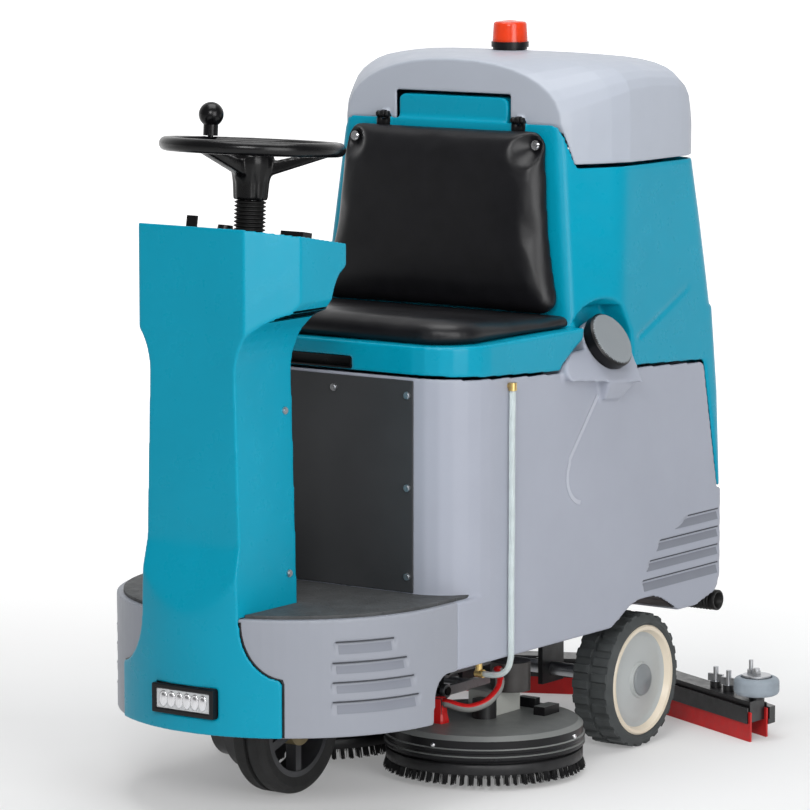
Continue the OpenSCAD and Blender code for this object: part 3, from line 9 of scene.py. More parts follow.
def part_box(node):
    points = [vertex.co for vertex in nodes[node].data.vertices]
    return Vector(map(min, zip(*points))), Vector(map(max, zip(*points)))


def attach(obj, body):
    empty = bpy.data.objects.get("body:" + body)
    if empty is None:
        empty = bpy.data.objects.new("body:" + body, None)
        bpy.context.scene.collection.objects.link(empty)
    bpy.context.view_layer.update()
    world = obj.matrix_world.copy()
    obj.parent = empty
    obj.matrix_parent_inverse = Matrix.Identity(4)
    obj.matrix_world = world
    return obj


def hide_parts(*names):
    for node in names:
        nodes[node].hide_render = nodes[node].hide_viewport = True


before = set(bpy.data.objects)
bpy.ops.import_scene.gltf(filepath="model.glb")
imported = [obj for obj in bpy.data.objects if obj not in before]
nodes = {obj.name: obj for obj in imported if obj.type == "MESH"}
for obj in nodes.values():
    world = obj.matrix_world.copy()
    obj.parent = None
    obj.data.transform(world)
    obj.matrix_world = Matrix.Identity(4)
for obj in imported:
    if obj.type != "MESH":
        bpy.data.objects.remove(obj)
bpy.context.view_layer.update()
scene = bpy.context.scene
rng = np.random.default_rng(7)
# Y of the front wheel's centre in the frame, in metres
FRONT = -0.411
# Places in millimetres from under the front wheel's centre. Axles and hinges give Y and Z.
BRUSH = (190, 345, 98)
REAR_AXLE, DRIVE_AXLE, LID_HINGE = (690, 125), (0, 119), (506, 1167)
HALF_W, NOSE_Y, BODY_BACK = 315, 29, 967
CAMERA_AT, CAMERA_AIM = (4778, -6359, 1772), (172.1, 122.3, 691.2)
SIDES = ((1, "left"), (-1, "right"))


def P(x, y, z):
    """A point given in millimetres from under the front wheel's centre."""
    return Vector((x / 1000, y / 1000 + FRONT, z / 1000))


# Camera at the photograph's angle
cam_data = bpy.data.cameras.new("camera")
cam_data.lens = 203.3
cam_data.sensor_width = 36
cam_data.clip_end = 200
cam = bpy.data.objects.new("camera", cam_data)
scene.collection.objects.link(cam)
cam.location = P(*CAMERA_AT)
cam.rotation_euler = (P(*CAMERA_AIM) - cam.location).to_track_quat("-Z", "Y").to_euler()
scene.camera = cam


# Materials


class Mat:
    """A node material whose colour, roughness and bump come from object-space noise."""

    def __init__(self, name, color, rough, metallic=0.0, coat=0.0):
        self.m = bpy.data.materials.new(name)
        self.m.use_nodes = True
        self.t = self.m.node_tree
        self.b = self.t.nodes["Principled BSDF"]
        self.b.inputs["Metallic"].default_value = metallic
        self.b.inputs["Roughness"].default_value = rough
        self.b.inputs["Base Color"].default_value = (*color, 1)
        if coat:
            self.b.inputs["Coat Weight"].default_value = coat
            self.b.inputs["Coat Roughness"].default_value = 0.12
        self.color = color
        self.rough = rough
        self.pos = self.t.nodes.new("ShaderNodeTexCoord").outputs["Object"]
        self.height = None

    def node(self, kind, **inputs):
        n = self.t.nodes.new(kind)
        for k, v in inputs.items():
            n.inputs[k.replace("_", " ")].default_value = v
        return n

    def link(self, a, b):
        self.t.links.new(a, b)

    def scaled(self, x, y, z):
        n = self.t.nodes.new("ShaderNodeMapping")
        n.inputs["Scale"].default_value = (x, y, z)
        self.link(self.pos, n.inputs["Vector"])
        return n.outputs["Vector"]

    def noise(self, scale, detail=4.0, rough=0.55, vec=None):
        n = self.node("ShaderNodeTexNoise", Scale=scale, Detail=detail, Roughness=rough)
        self.link(vec or self.pos, n.inputs["Vector"])
        return n.outputs["Fac"]

    def voronoi(self, scale, feature="F1", vec=None):
        n = self.node("ShaderNodeTexVoronoi", Scale=scale)
        n.feature = feature
        self.link(vec or self.pos, n.inputs["Vector"])
        return n.outputs["Distance"]

    def remap(self, fac, a, b, c, d):
        """Take the range a to b to the range c to d."""
        n = self.t.nodes.new("ShaderNodeMapRange")
        for i, v in zip(("From Min", "From Max", "To Min", "To Max"), (a, b, c, d)):
            n.inputs[i].default_value = v
        self.link(fac, n.inputs["Value"])
        return n.outputs["Result"]

    def ramp(self, fac, stops):
        n = self.t.nodes.new("ShaderNodeValToRGB")
        while len(n.color_ramp.elements) < len(stops):
            n.color_ramp.elements.new(0.5)
        for e, (p, c) in zip(n.color_ramp.elements, stops):
            e.position = p
            e.color = (*c, 1)
        self.link(fac, n.inputs["Fac"])
        return n.outputs["Color"]

    def tone(self, scale, amount, detail=5.0, vec=None):
        """Colour varies by amount about its mean."""
        lo = [max(0, c * (1 - amount)) for c in self.color]
        hi = [min(1, c * (1 + amount)) for c in self.color]
        f = self.noise(scale, detail, vec=vec)
        self.link(self.ramp(f, [(0.3, lo), (0.7, hi)]), self.b.inputs["Base Color"])
        return self

    def gloss(self, scale, amount, detail=5.0, vec=None):
        """Roughness varies by amount about its mean."""
        f = self.noise(scale, detail, vec=vec)
        r = self.remap(f, 0.3, 0.7, max(0.02, self.rough - amount), min(1, self.rough + amount))
        self.link(r, self.b.inputs["Roughness"])
        return self

    def bump(self, fac, strength, distance):
        """Relief on top of any relief given before."""
        n = self.node("ShaderNodeBump", Strength=strength, Distance=distance)
        self.link(fac, n.inputs["Height"])
        if self.height:
            self.link(self.height, n.inputs["Normal"])
        self.height = n.outputs["Normal"]
        self.link(self.height, self.b.inputs["Normal"])
        return self


def plastic(name, color, rough, var=0.05, peel=0.12, spec=0.4):
    """Moulded plastic with a faint orange peel."""
    m = Mat(name, color, rough)
    m.tone(5, var).gloss(30, 0.05)
    m.bump(m.noise(900, 2), peel, 0.0002)
    m.b.inputs["Specular IOR Level"].default_value = spec
    return m.m


def metal(name, color, rough, streak=(900, 900, 60)):
    """Metal with fine streaks along Z."""
    m = Mat(name, color, rough, metallic=1.0)
    v = m.scaled(*streak)
    m.tone(1, 0.12, vec=v).gloss(1, 0.1, vec=v)
    m.bump(m.noise(1, 3, vec=v), 0.15, 0.0002)
    return m.m


def paint(name, color, rough):
    """Sprayed paint under a thin clear coat."""
    m = Mat(name, color, rough, coat=0.2)
    m.tone(40, 0.15).gloss(60, 0.1)
    m.bump(m.noise(700, 2), 0.3, 0.0003)
    return m.m


def rubber(name, color, rough=0.7, var=0.18):
    """Dull rubber with a fine grain."""
    m = Mat(name, color, rough)
    m.tone(45, var).gloss(90, 0.1)
    m.bump(m.noise(1500, 3), 0.35, 0.0003)
    m.b.inputs["Specular IOR Level"].default_value = 0.35
    return m.m


def vinyl(name, color):
    """Seat vinyl with a leather grain and slow waves."""
    m = Mat(name, color, 0.36)
    m.tone(30, 0.2).gloss(12, 0.06)
    m.bump(m.voronoi(620, "DISTANCE_TO_EDGE"), 0.25, 0.0004)
    m.bump(m.noise(9, 2), 0.12, 0.004)
    m.b.inputs["Specular IOR Level"].default_value = 0.35
    return m.m


def clear(name, color, rough, through, ior=1.45):
    """Clear plastic; through is the share of light that passes."""
    m = Mat(name, color, rough)
    m.tone(50, 0.08).gloss(80, 0.05)
    m.b.inputs["Transmission Weight"].default_value = through
    m.b.inputs["IOR"].default_value = ior
    return m.m


def mat_rubber():
    """The foot mat's rubber, with round studs."""
    m = Mat("foot_mat", (0.055, 0.058, 0.06), 0.62)
    m.tone(22, 0.25).gloss(60, 0.1)
    d = m.voronoi(95)
    m.bump(m.remap(d, 0.15, 0.35, 1, 0), 0.7, 0.0012)
    m.bump(m.noise(900, 3), 0.3, 0.0003)
    return m.m


TEAL = plastic("teal_plastic", (0.0, 0.27, 0.40), 0.3, var=0.04, peel=0.08, spec=0.2)
GREY = plastic("grey_plastic", (0.325, 0.345, 0.405), 0.42, var=0.03, spec=0.25)
# Painted shade: the base's grey plastic is a darker copy of the body's, since the base gets less light.
SHADED_BASE_GREY = plastic("base_grey", (0.27, 0.285, 0.325), 0.42, var=0.03, spec=0.25)
LID = plastic("lid_plastic", (0.38, 0.41, 0.47), 0.42, var=0.03, spec=0.35)
BLACK = plastic("black_plastic", (0.006, 0.006, 0.007), 0.32, var=0.15, spec=0.25)
GRIP = plastic("grip_plastic", (0.003, 0.003, 0.0035), 0.24, var=0.15, spec=0.3)
# Painted highlight: a lighter copy of the grey plastic for the lit edge of the body's pressed line.
PAINTED_CREASE_HIGHLIGHT = plastic("side_band", (0.40, 0.42, 0.48), 0.4, spec=0.3)
# Painted shade: darker grey for the groove ramps, and near black for the painted shadow under the groove lips.
PAINTED_RAMP_SHADE = plastic("groove_ramp", (0.20, 0.213, 0.25), 0.5, spec=0.2)
PAINTED_GROOVE_SHADOW = plastic("groove_shade", (0.06, 0.064, 0.074), 0.6, spec=0.1)
PANEL = plastic("dark_panel", (0.035, 0.037, 0.04), 0.5, var=0.12)
MAT = mat_rubber()
FRAME = paint("frame_paint", (0.009, 0.009, 0.010), 0.42)
STEEL = metal("zinc_steel", (0.55, 0.56, 0.58), 0.36)
CHROME = metal("chrome", (0.78, 0.78, 0.8), 0.12)
ALLOY = metal("cast_alloy", (0.42, 0.42, 0.40), 0.5, streak=(160, 160, 160))
SPOKE = paint("spoke_paint", (0.045, 0.046, 0.05), 0.4)
BRONZE = paint("bronze_paint", (0.20, 0.16, 0.085), 0.5)
RUBBER = rubber("black_rubber", (0.007, 0.007, 0.007), 0.5)
TYRE_GREY = rubber("tyre_grey", (0.052, 0.057, 0.058), 0.7, 0.2)
TYRE_BLACK = rubber("tyre_black", (0.022, 0.022, 0.022), 0.7)
HUB = plastic("hub_grey", (0.40, 0.42, 0.42), 0.35, var=0.04)
CREAM = plastic("hub_cream", (0.70, 0.62, 0.50), 0.35, var=0.05)
CAP_GREY = plastic("hub_cap_grey", (0.20, 0.215, 0.225), 0.4)
DECK = plastic("deck_plastic", (0.155, 0.162, 0.158), 0.4, var=0.12)
CAP_FACE = plastic("cap_face", (0.21, 0.23, 0.245), 0.38, spec=0.35)
VINYL = vinyl("black_vinyl", (0.006, 0.006, 0.0075))
CAST = plastic("cast_housing", (0.47, 0.48, 0.45), 0.5, var=0.1)
MOTOR = paint("motor_paint", (0.03, 0.026, 0.024), 0.45)
BRASS = metal("brass", (0.70, 0.50, 0.20), 0.3)
TUBE = clear("clear_tube", (0.80, 0.88, 0.88), 0.12, 0.55, 1.38)
RED = rubber("red_rubber", (0.50, 0.012, 0.012), 0.5, 0.12)
RED_PLASTIC = plastic("red_plastic", (0.62, 0.01, 0.01), 0.35)
LENS_RED = clear("beacon_red", (0.90, 0.06, 0.012), 0.18, 0.35)
LENS = clear("lamp_lens", (0.88, 0.90, 0.92), 0.08, 0.35)
BRISTLE = rubber("bristle", (0.012, 0.012, 0.013), 0.45, 0.4)
ROLLER = rubber("roller_grey", (0.26, 0.30, 0.34), 0.55, 0.1)
CABLE = rubber("cable_sheath", (0.27, 0.27, 0.26), 0.5, 0.1)
CASE = plastic("battery_case", (0.02, 0.02, 0.022), 0.45, var=0.2)

NODE_MATS = {
    "chassis_frame": FRAME, "base_shell": GREY, "body_shell": GREY, "foot_mat": MAT, "fascia": TEAL,
    "column_back": BLACK, "dash_panel": BLACK, "steering_column": STEEL, "steering_boot": RUBBER,
    "headlight_bezel": BLACK, "headlight_lens": LENS, "kick_panel": PANEL, "fixings": STEEL,
    "battery_pack": CASE, "level_tube": TUBE, "level_fittings": BRASS, "rear_axle": STEEL,
    "drain_hose": RUBBER, "deck_actuator": STEEL, "steering_chain": STEEL, "steering_wheel": BLACK,
    "steering_shaft": STEEL, "spinner_knob": GRIP, "lower_shaft": STEEL, "drive_fork": FRAME,
    "drive_motor": FRAME, "drive_tyre": TYRE_BLACK, "drive_hub": BRONZE, "rear_tyre_l": TYRE_GREY,
    "rear_tyre_r": TYRE_GREY, "rear_hub_l": HUB, "rear_hub_r": HUB, "deck_arms_upper": STEEL,
    "deck_arms_lower": STEEL, "deck_rod": CHROME, "deck_covers": DECK, "brush_motors": CAST,
    "deck_cable": CABLE, "brush_disc_l": BLACK, "brush_disc_r": BLACK, "bristles_l": BRISTLE,
    "bristles_r": BRISTLE, "squeegee_arm": FRAME, "squeegee_frame": FRAME, "squeegee_blades": RED,
    "squeegee_roller_l": ROLLER, "squeegee_roller_r": ROLLER, "recovery_tank": TEAL,
    "seat_cushion": VINYL, "backrest": VINYL, "seat_fittings": CHROME, "vacuum_motor": ALLOY,
    "tank_lid": LID, "beacon_base": BLACK, "beacon_lens": LENS_RED, "filler_cap": BLACK,
    "dash_key": BLACK, "dash_knob": BLACK, "dash_rocker": BLACK, "drive_pedal": RUBBER,
}
for name, obj in nodes.items():
    obj.data.materials.clear()
    obj.data.materials.append(NODE_MATS[name])


# Mesh helpers


def tint(o, mat, pick):
    """Give a second material to the faces that pick(centres, normals) chooses."""
    faces = o.data.polygons
    data = []
    for what in ("center", "normal"):
        a = np.empty(len(faces) * 3, np.float32)
        faces.foreach_get(what, a)
        data.append(a.reshape(-1, 3))
    index = np.empty(len(faces), np.int32)
    faces.foreach_get("material_index", index)
    o.data.materials.append(mat)
    index[pick(*data)] = len(o.data.materials) - 1
    faces.foreach_set("material_index", index)


def place(o, c):
    """Points of a mesh in the frame."""
    m = np.array(o.matrix_world)
    return c @ m[:3, :3].T + m[:3, 3]


def points(me):
    """A mesh's vertices as rows."""
    co = np.empty(len(me.vertices) * 3, np.float32)
    me.vertices.foreach_get("co", co)
    return co.reshape(-1, 3)


def set_points(me, co):
    me.vertices.foreach_set("co", co.astype(np.float32).ravel())
    me.update()


def wear(name, me, mat, body, slot):
    """A new piece from a mesh, with its material and body; slot is not used."""
    o = bpy.data.objects.new(name, me)
    scene.collection.objects.link(o)
    me.materials.clear()
    me.materials.append(mat)
    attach(o, body)
    return o


def add(name, verts, faces, mat, body, slot, smooth=True):
    """A new piece from vertices and faces."""
    me = bpy.data.meshes.new(name)
    me.from_pydata([tuple(v) for v in verts], [], [tuple(f) for f in faces])
    me.validate()
    me.polygons.foreach_set("use_smooth", [smooth] * len(me.polygons))
    return wear(name, me, mat, body, slot)


def merge(*meshes):
    """Several meshes of vertices and faces as one."""
    vs, fs = [], []
    for v, f in meshes:
        k = len(vs)
        vs += list(v)
        fs += [[i + k for i in p] for p in f]
    return vs, fs


def lathe(profile, steps, at=Matrix.Identity(4)):
    """A profile of (radius, height) points turned about Z, then moved by a matrix."""
    n = len(profile)
    verts = []
    for i in range(steps):
        a = 2 * math.pi * i / steps
        verts += [at @ Vector((r * math.cos(a), r * math.sin(a), z)) for r, z in profile]
    faces = []
    for i in range(steps):
        k = (i + 1) % steps
        faces += [(i * n + j, k * n + j, k * n + j + 1, i * n + j + 1) for j in range(n - 1)]
    return verts, faces


def block(lo, hi, cut=0.0015):
    """A box with its edges cut."""
    bm = bmesh.new()
    bmesh.ops.create_cube(bm, size=1)
    lo, hi = Vector(lo), Vector(hi)
    for v in bm.verts:
        v.co = Vector(((lo[i] + hi[i]) / 2 + v.co[i] * (hi[i] - lo[i])) for i in range(3))
    bmesh.ops.bevel(bm, geom=list(bm.edges), offset=cut, segments=2, profile=0.5, affect="EDGES")
    vs = [v.co.copy() for v in bm.verts]
    fs = [[v.index for v in f.verts] for f in bm.faces]
    bm.free()
    return vs, fs


def smooth_path(pts, step):
    """A Catmull-Rom line through the points, about step apart."""
    q = [np.array(p, float) for p in pts]
    q = [2 * q[0] - q[1], *q, 2 * q[-1] - q[-2]]
    out = []
    for i in range(1, len(q) - 2):
        n = max(2, int(np.linalg.norm(q[i + 1] - q[i]) / step))
        for k in range(n):
            t = k / n
            out.append(0.5 * (2 * q[i] + (q[i + 1] - q[i - 1]) * t
                + (2 * q[i - 1] - 5 * q[i] + 4 * q[i + 1] - q[i + 2]) * t * t
                + (3 * q[i] - q[i - 1] - 3 * q[i + 1] + q[i + 2]) * t ** 3))
    out.append(q[-2])
    return np.array(out)


def headings(line):
    """Unit directions along a line of points."""
    way = np.gradient(line, axis=0)
    return way / np.linalg.norm(way, axis=1)[:, None]


def tube(path, r, sides):
    """A closed round tube along a path, without twist."""
    d = headings(path)
    u = np.cross(d[0], (0.31, 0.9, 0.2))
    verts, faces = [], []
    for i, p in enumerate(path):
        u = u - d[i] * (u @ d[i])
        u /= np.linalg.norm(u)
        v = np.cross(d[i], u)
        for j in range(sides):
            a = 2 * math.pi * j / sides
            verts.append(p + r * (u * math.cos(a) + v * math.sin(a)))
    for i in range(len(path) - 1):
        for j in range(sides):
            k = (j + 1) % sides
            faces.append((i * sides + j, i * sides + k, (i + 1) * sides + k, (i + 1) * sides + j))
    faces.append(tuple(range(sides - 1, -1, -1)))
    faces.append(tuple((len(path) - 1) * sides + j for j in range(sides)))
    return verts, faces


def relax(me, weight, passes):
    """Even out a mesh where weight(points) is above 0."""
    co = points(me).astype(float)
    n = len(co)
    e = np.empty(len(me.edges) * 2, np.int32)
    me.edges.foreach_get("vertices", e)
    a, b = e[0::2], e[1::2]
    count = np.maximum(np.bincount(e, minlength=n), 1)
    w = 0.5 * weight(co)[:, None]
    for _ in range(passes):
        mean = np.stack([
            np.bincount(a, co[b, k], n) + np.bincount(b, co[a, k], n) for k in range(3)
        ], axis=1) / count[:, None]
        co += w * (mean - co)
    set_points(me, co)


def remeshed(name, part, voxel, passes, keep=None):
    """A new mesh over a CAD solid, its edges rounded by smoothing, thinned to the share keep."""
    bm = bmesh.new()
    bm.from_mesh(nodes[part].data)
    bmesh.ops.remove_doubles(bm, verts=bm.verts, dist=1e-5)
    raw = bpy.data.meshes.new(name + "_raw")
    bm.to_mesh(raw)
    bm.free()
    o = bpy.data.objects.new(name + "_raw", raw)
    scene.collection.objects.link(o)
    remesh = o.modifiers.new("remesh", "REMESH")
    remesh.mode = "VOXEL"
    remesh.voxel_size = voxel
    smooth = o.modifiers.new("smooth", "SMOOTH")
    smooth.factor = 0.5
    smooth.iterations = passes
    if keep:
        o.modifiers.new("decimate", "DECIMATE").ratio = keep
    done = bpy.data.meshes.new_from_object(o.evaluated_get(bpy.context.evaluated_depsgraph_get()))
    bpy.data.objects.remove(o)
    bpy.data.meshes.remove(raw)
    done.name = name
    done.polygons.foreach_set("use_smooth", [True] * len(done.polygons))
    return done


# Cords: the level tube, and the two brush cables with their red stripe

CORD_STEP = 0.006
TUBE_R, CABLE_R = 0.0055, 0.008
TUBE_ROUTE = [
    (323, 236, 716), (323, 236, 690), (323, 235.5, 660), (323, 235, 630), (323, 235, 600), (323, 235, 570),
    (323, 235, 540), (323, 235, 510), (323, 235, 480), (323, 235, 450), (323, 234.5, 420), (323, 234, 390),
    (323, 234, 360), (323, 234, 330), (323, 234, 300), (323, 234, 275), (323, 234, 254), (322, 234, 238),
    (318, 234, 224), (310, 234, 213), (298, 234, 206.5), (282, 234, 204), (264, 234, 204),
]
# From the left brush's centre; the right cable mirrors it
CABLE_ROUTE = [
    (-28.7, -85, 37), (-16, -85, 37), (-3, -81, 33), (13, -71, 30), (26, -59, 33), (36, -45, 39.5),
    (40, -27, 50), (38, -9, 61), (31, 4, 73), (21, 11, 81), (14, 18, 84), (14, 27.7, 84),
]


def cord(name, route, r, sides, mat, body, slot, node):
    """A cord of radius r along a route, in place of a CAD node."""
    path = smooth_path(route, CORD_STEP)
    o = add(name, *tube(path, r, sides), mat, body, slot)
    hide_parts(node)
    return o


route = [P(*p) for p in TUBE_ROUTE]
cord("level_hose", route, TUBE_R, 16, TUBE, "chassis", "clear_tube", "level_tube")
for s, side in SIDES:
    route = [P(s * (BRUSH[0] + x), BRUSH[1] + y, BRUSH[2] + z) for x, y, z in CABLE_ROUTE]
    name = f"brush_cable_{side}"
    cable = cord(name, route, CABLE_R, 20, CABLE, "deck", "cable_sheath", "deck_cable")
    stripe = np.array((0.3 * s, -0.4, 1))
    tint(cable, RED_PLASTIC, lambda c, n: n @ stripe > 0.8)


# Rotomoulded shells: the CAD solids with rounded edges

VOX = 0.0035
KEEP = 0.3
BASE_VOX, WHEEL_VOX = 0.0024, 0.0025
# The cowl's front is evened out between these heights, where the column flows into the skirt
FLOW_TOP, FLOW_FOOT, FLOW_HALF, FLOW_FADE = 0.56, 0.30, 0.098, 0.05
ARCH_R = 0.159
# Half the lid hinges' spacing, and half a knuckle's length
HINGE_X, HINGE_HALF = 0.150, 0.0155
FLUTES, FLUTE_DEEP, FLUTE_TOP = 9, 0.0022, -0.034
tilt = Matrix.Rotation(math.radians(-4), 4, "X")
steer = Matrix.Translation(P(0, -91, 1131)) @ tilt


def under_column(co):
    """1 where the column flows into the nose skirt, fading to 0."""
    z = co[:, 2]
    up = np.clip((FLOW_TOP - z) / FLOW_FADE, 0, 1)
    mid = np.clip((FLOW_HALF - np.abs(co[:, 0])) / 0.03, 0, 1)
    return up * mid * np.clip((z - FLOW_FOOT) / FLOW_FADE, 0, 1) * (co[:, 1] < FRONT - 0.13)


def painted_arch_shade(c, n):
    """Picks the insides of the rear wheel arches, where black is painted as shade."""
    axle = P(0, *REAR_AXLE)
    far = np.hypot(c[:, 1] - axle.y, c[:, 2] - axle.z)
    return (far < ARCH_R) & (np.abs(c[:, 0]) > 0.2) & (np.abs(n[:, 0]) < 0.6)


def on_hinge(c, n):
    """Picks the lid hinges' knuckles on the tank and on the lid."""
    side = np.abs(np.abs(c[:, 0]) - HINGE_X)
    rear, foot = P(0, LID_HINGE[0] + 5, 0).y, LID_HINGE[1] / 1000 - 0.022
    return (side < HINGE_HALF) & (c[:, 1] < rear) & (c[:, 2] > foot)


def flutes(co):
    """Grooves round the lower hub of the steering wheel."""
    turn, centre = np.array(tilt)[:3, :3], np.array(steer.translation)
    q = (co - centre) @ turn
    r = np.hypot(q[:, 0], q[:, 1])
    hub = (r < 0.04) & (r > 0.02) & (q[:, 2] < FLUTE_TOP)
    a = np.arctan2(q[:, 1], q[:, 0])
    fade = np.clip((FLUTE_TOP - q[:, 2]) / 0.008, 0, 1)
    dent = FLUTE_DEEP * np.clip(np.cos(FLUTES * a), 0, 1) * hub * fade
    q[:, :2] *= (1 - dent / np.maximum(r, 1e-6))[:, None]
    co[:] = q @ turn.T + centre


def rounded_shell(name, part, voxel, passes, mat, body, slot, soft=None, shape=None):
    """A moulding: a CAD solid with rounded edges, evened out by soft, then bent by shape."""
    done = remeshed(name, part, voxel, passes, KEEP)
    if soft:
        relax(done, *soft)
    if shape:
        co = points(done)
        shape(co)
        set_points(done, co)
    o = wear(name, done, mat, body, slot)
    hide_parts(part)
    return o


body = rounded_shell("body_skin", "body_shell", VOX, 6, GREY, "chassis", "grey_plastic")
# Painted shade: the insides of the rear wheel arches are painted black.
tint(body, BLACK, painted_arch_shade)
# Painted shade: the base's skin takes the darker copy of the grey plastic.
rounded_shell("base_skin", "base_shell", BASE_VOX, 6, SHADED_BASE_GREY, "chassis", "grey_plastic")
rounded_shell("front_cowl", "fascia", VOX * 0.65, 7, TEAL, "chassis", "teal_plastic", soft=(under_column, 60))
tank = rounded_shell("tank_skin", "recovery_tank", VOX * 0.85, 7, TEAL, "tank", "teal_plastic")
tint(tank, BLACK, on_hinge)
lid = rounded_shell("lid_skin", "tank_lid", VOX * 0.6, 8, LID, "lid", "lid_plastic")
tint(lid, BLACK, on_hinge)
rounded_shell("wheel_skin", "steering_wheel", WHEEL_VOX, 6, GRIP, "steering", "black_plastic", shape=flutes)


# Cushions

CUSHION_VOX, CUSHION_SWELL, CLOTH_FRAMES = 0.006, 0.006, 20
seat_lo, seat_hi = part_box("seat_cushion")
back_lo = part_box("backrest")[0]
# The leaning plane behind the backrest, the X and Z of its bolts, and how far the soft edges fill
RIM_TOP, LEAN, BACK_FACE = 0.802, math.tan(math.radians(3.5)), P(0, 486.4, 0).y
BACK_BOLT = (0.201, 1.1253)
SEAT_FILL, BACK_FILL = 0.006, 0.009
# The backrest's thickness under its bolts, their radius, and the rise and softness of the dimple
BOLT_SEAT, BOLT_R, DIMPLE_RISE, DIMPLE_SOFT = 0.0135, 0.011, 1.1, 0.006


def blown_up(o):
    """Where cloth under pressure takes an object's points."""
    cloth = o.modifiers.new("cloth", "CLOTH")
    cloth.settings.use_pressure = True
    cloth.settings.uniform_pressure_force = 4
    cloth.settings.effector_weights.gravity = 0
    cloth.settings.quality = 4
    cloth.settings.tension_stiffness = 25
    cloth.settings.compression_stiffness = 25
    cloth.settings.bending_stiffness = 2
    cloth.point_cache.frame_start = 1
    cloth.point_cache.frame_end = CLOTH_FRAMES
    for f in range(1, CLOTH_FRAMES + 1):
        scene.frame_set(f)
    got = bpy.data.meshes.new_from_object(o.evaluated_get(bpy.context.evaluated_depsgraph_get()))
    end = points(got)
    bpy.data.meshes.remove(got)
    o.modifiers.clear()
    scene.frame_set(1)
    return end


def cushion(name, node, hold, press):
    """A soft cushion; hold(start, move) limits its swelling, and press(points) gives its last shape."""
    done = remeshed(name, node, CUSHION_VOX, 4)
    o = wear(name, done, VINYL, "tank", "vinyl")
    start = points(done)
    move = blown_up(o) - start
    size = np.linalg.norm(move, axis=1, keepdims=True)
    move *= np.minimum(1, CUSHION_SWELL / np.maximum(size, 1e-9))
    hold(start, move)
    set_points(done, start + move)
    relax(done, lambda co: np.ones(len(co)), 5)
    end = points(done)
    press(end)
    set_points(done, end)
    s = o.modifiers.new("subdivision", "SUBSURF")
    s.levels = s.render_levels = 1
    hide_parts(node)


def seat_hold(start, move):
    """The seat stays flat below, and low at its rear edge."""
    low = start[:, 2] < seat_lo.z + 0.006
    move[low, 2] = 0
    rear = start[:, 1] > seat_hi.y - 0.05
    move[rear, 2] = np.minimum(move[rear, 2], 0.001)


def back_hold(start, move):
    """The backrest stays flat behind, and doesn't swell down."""
    face = BACK_FACE + (start[:, 2] - RIM_TOP) * LEAN
    flat = start[:, 1] > face - 0.008
    move[flat, 1] = np.minimum(move[flat, 1], 0)
    low = start[:, 2] < back_lo.z + 0.03
    move[low, 2] = np.maximum(move[low, 2], 0)


def seat_press(co):
    """The seat's rear edge fills up to the backrest."""
    rear = np.clip((co[:, 1] - seat_hi.y + 0.07) / 0.05, 0, 1)
    co[:, 2] += SEAT_FILL * rear * (co[:, 2] > seat_lo.z + 0.008)


def back_press(co):
    """The backrest's foot fills down to the seat, and its bolts draw it in."""
    thick = BACK_FACE + (co[:, 2] - RIM_TOP) * LEAN - co[:, 1]
    low = np.clip((back_lo.z + 0.05 - co[:, 2]) / 0.05, 0, 1)
    co[:, 2] -= BACK_FILL * low * np.clip((thick - 0.012) / 0.015, 0, 1)
    off = np.hypot(np.abs(co[:, 0]) - BACK_BOLT[0], co[:, 2] - BACK_BOLT[1])
    over = thick - BOLT_SEAT - DIMPLE_RISE * np.maximum(0, off - BOLT_R)
    over = 0.5 * (over + np.hypot(over, DIMPLE_SOFT))
    co[:, 1] += over * (off < 0.06) * np.clip(thick / 0.01, 0, 1)


cushion("seat_pad", "seat_cushion", seat_hold, seat_press)
cushion("back_pad", "backrest", back_hold, back_press)


# Ribbed boot and drain hose

BOOT_FOOT, BOOT_RIB_FOOT, BOOT_TOP, BOOT_BORE = -0.136, -0.1335, -0.0727, 0.0163
HOSE_R, HOSE_BORE, HOSE_Z = 0.0185, 0.015, 0.237
# X of the hose's inner end, of its ribs and of its mouth
HOSE_END, RIB_FROM, RIB_TO, HOSE_MOUTH = 0.066, 0.118, 0.300, 0.312


def ribs(r, wave, foot, top, count, steps):
    """A wavy profile with count ribs, each drawn in a number of steps."""
    n = count * steps
    return [
        (r + wave * math.sin(2 * math.pi * (i / steps - 0.25)), foot + (top - foot) * i / n)
        for i in range(n + 1)
    ]


prof = [(BOOT_BORE, BOOT_TOP), (BOOT_BORE, BOOT_FOOT)]
prof += [(0.030, BOOT_FOOT), (0.030, -0.1345), (0.026, BOOT_RIB_FOOT)]
prof += ribs(0.0255, 0.0025, BOOT_RIB_FOOT, BOOT_TOP, 9, 8)
prof += [(0.022, BOOT_TOP), (BOOT_BORE, BOOT_TOP)]
boot = add("boot", *lathe(prof, 64, steer), RUBBER, "chassis", "black_rubber")
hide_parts("steering_boot")

hose_lo, hose_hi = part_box("drain_hose")
HOSE_Y = hose_hi.y - 0.020
along = Matrix.Translation((0, HOSE_Y, HOSE_Z)) @ Matrix.Rotation(math.radians(90), 4, "Y")
prof = [(HOSE_BORE, HOSE_END), (HOSE_R, HOSE_END), (HOSE_R, RIB_FROM)]
prof += ribs(HOSE_R, 0.0015, RIB_FROM, RIB_TO, 26, 6)
prof += [(0.0195, 0.3005), (0.0195, 0.311), (0.0188, HOSE_MOUTH), (0.0155, HOSE_MOUTH)]
prof += [(HOSE_BORE, 0.3115), (HOSE_BORE, HOSE_END)]
pipe = lathe(prof, 48, along)
stay = block((HOSE_END, hose_lo.y, 0.219), (0.078, HOSE_Y - 0.018, HOSE_Z))
clip = block((HOSE_END, HOSE_Y - 0.020, 0.219), (0.078, HOSE_Y - 0.014, 0.255))
hose = add("drain_pipe", *merge(pipe, stay, clip), RUBBER, "chassis", "black_rubber")
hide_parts("drain_hose")


# Brush blocks and bristles

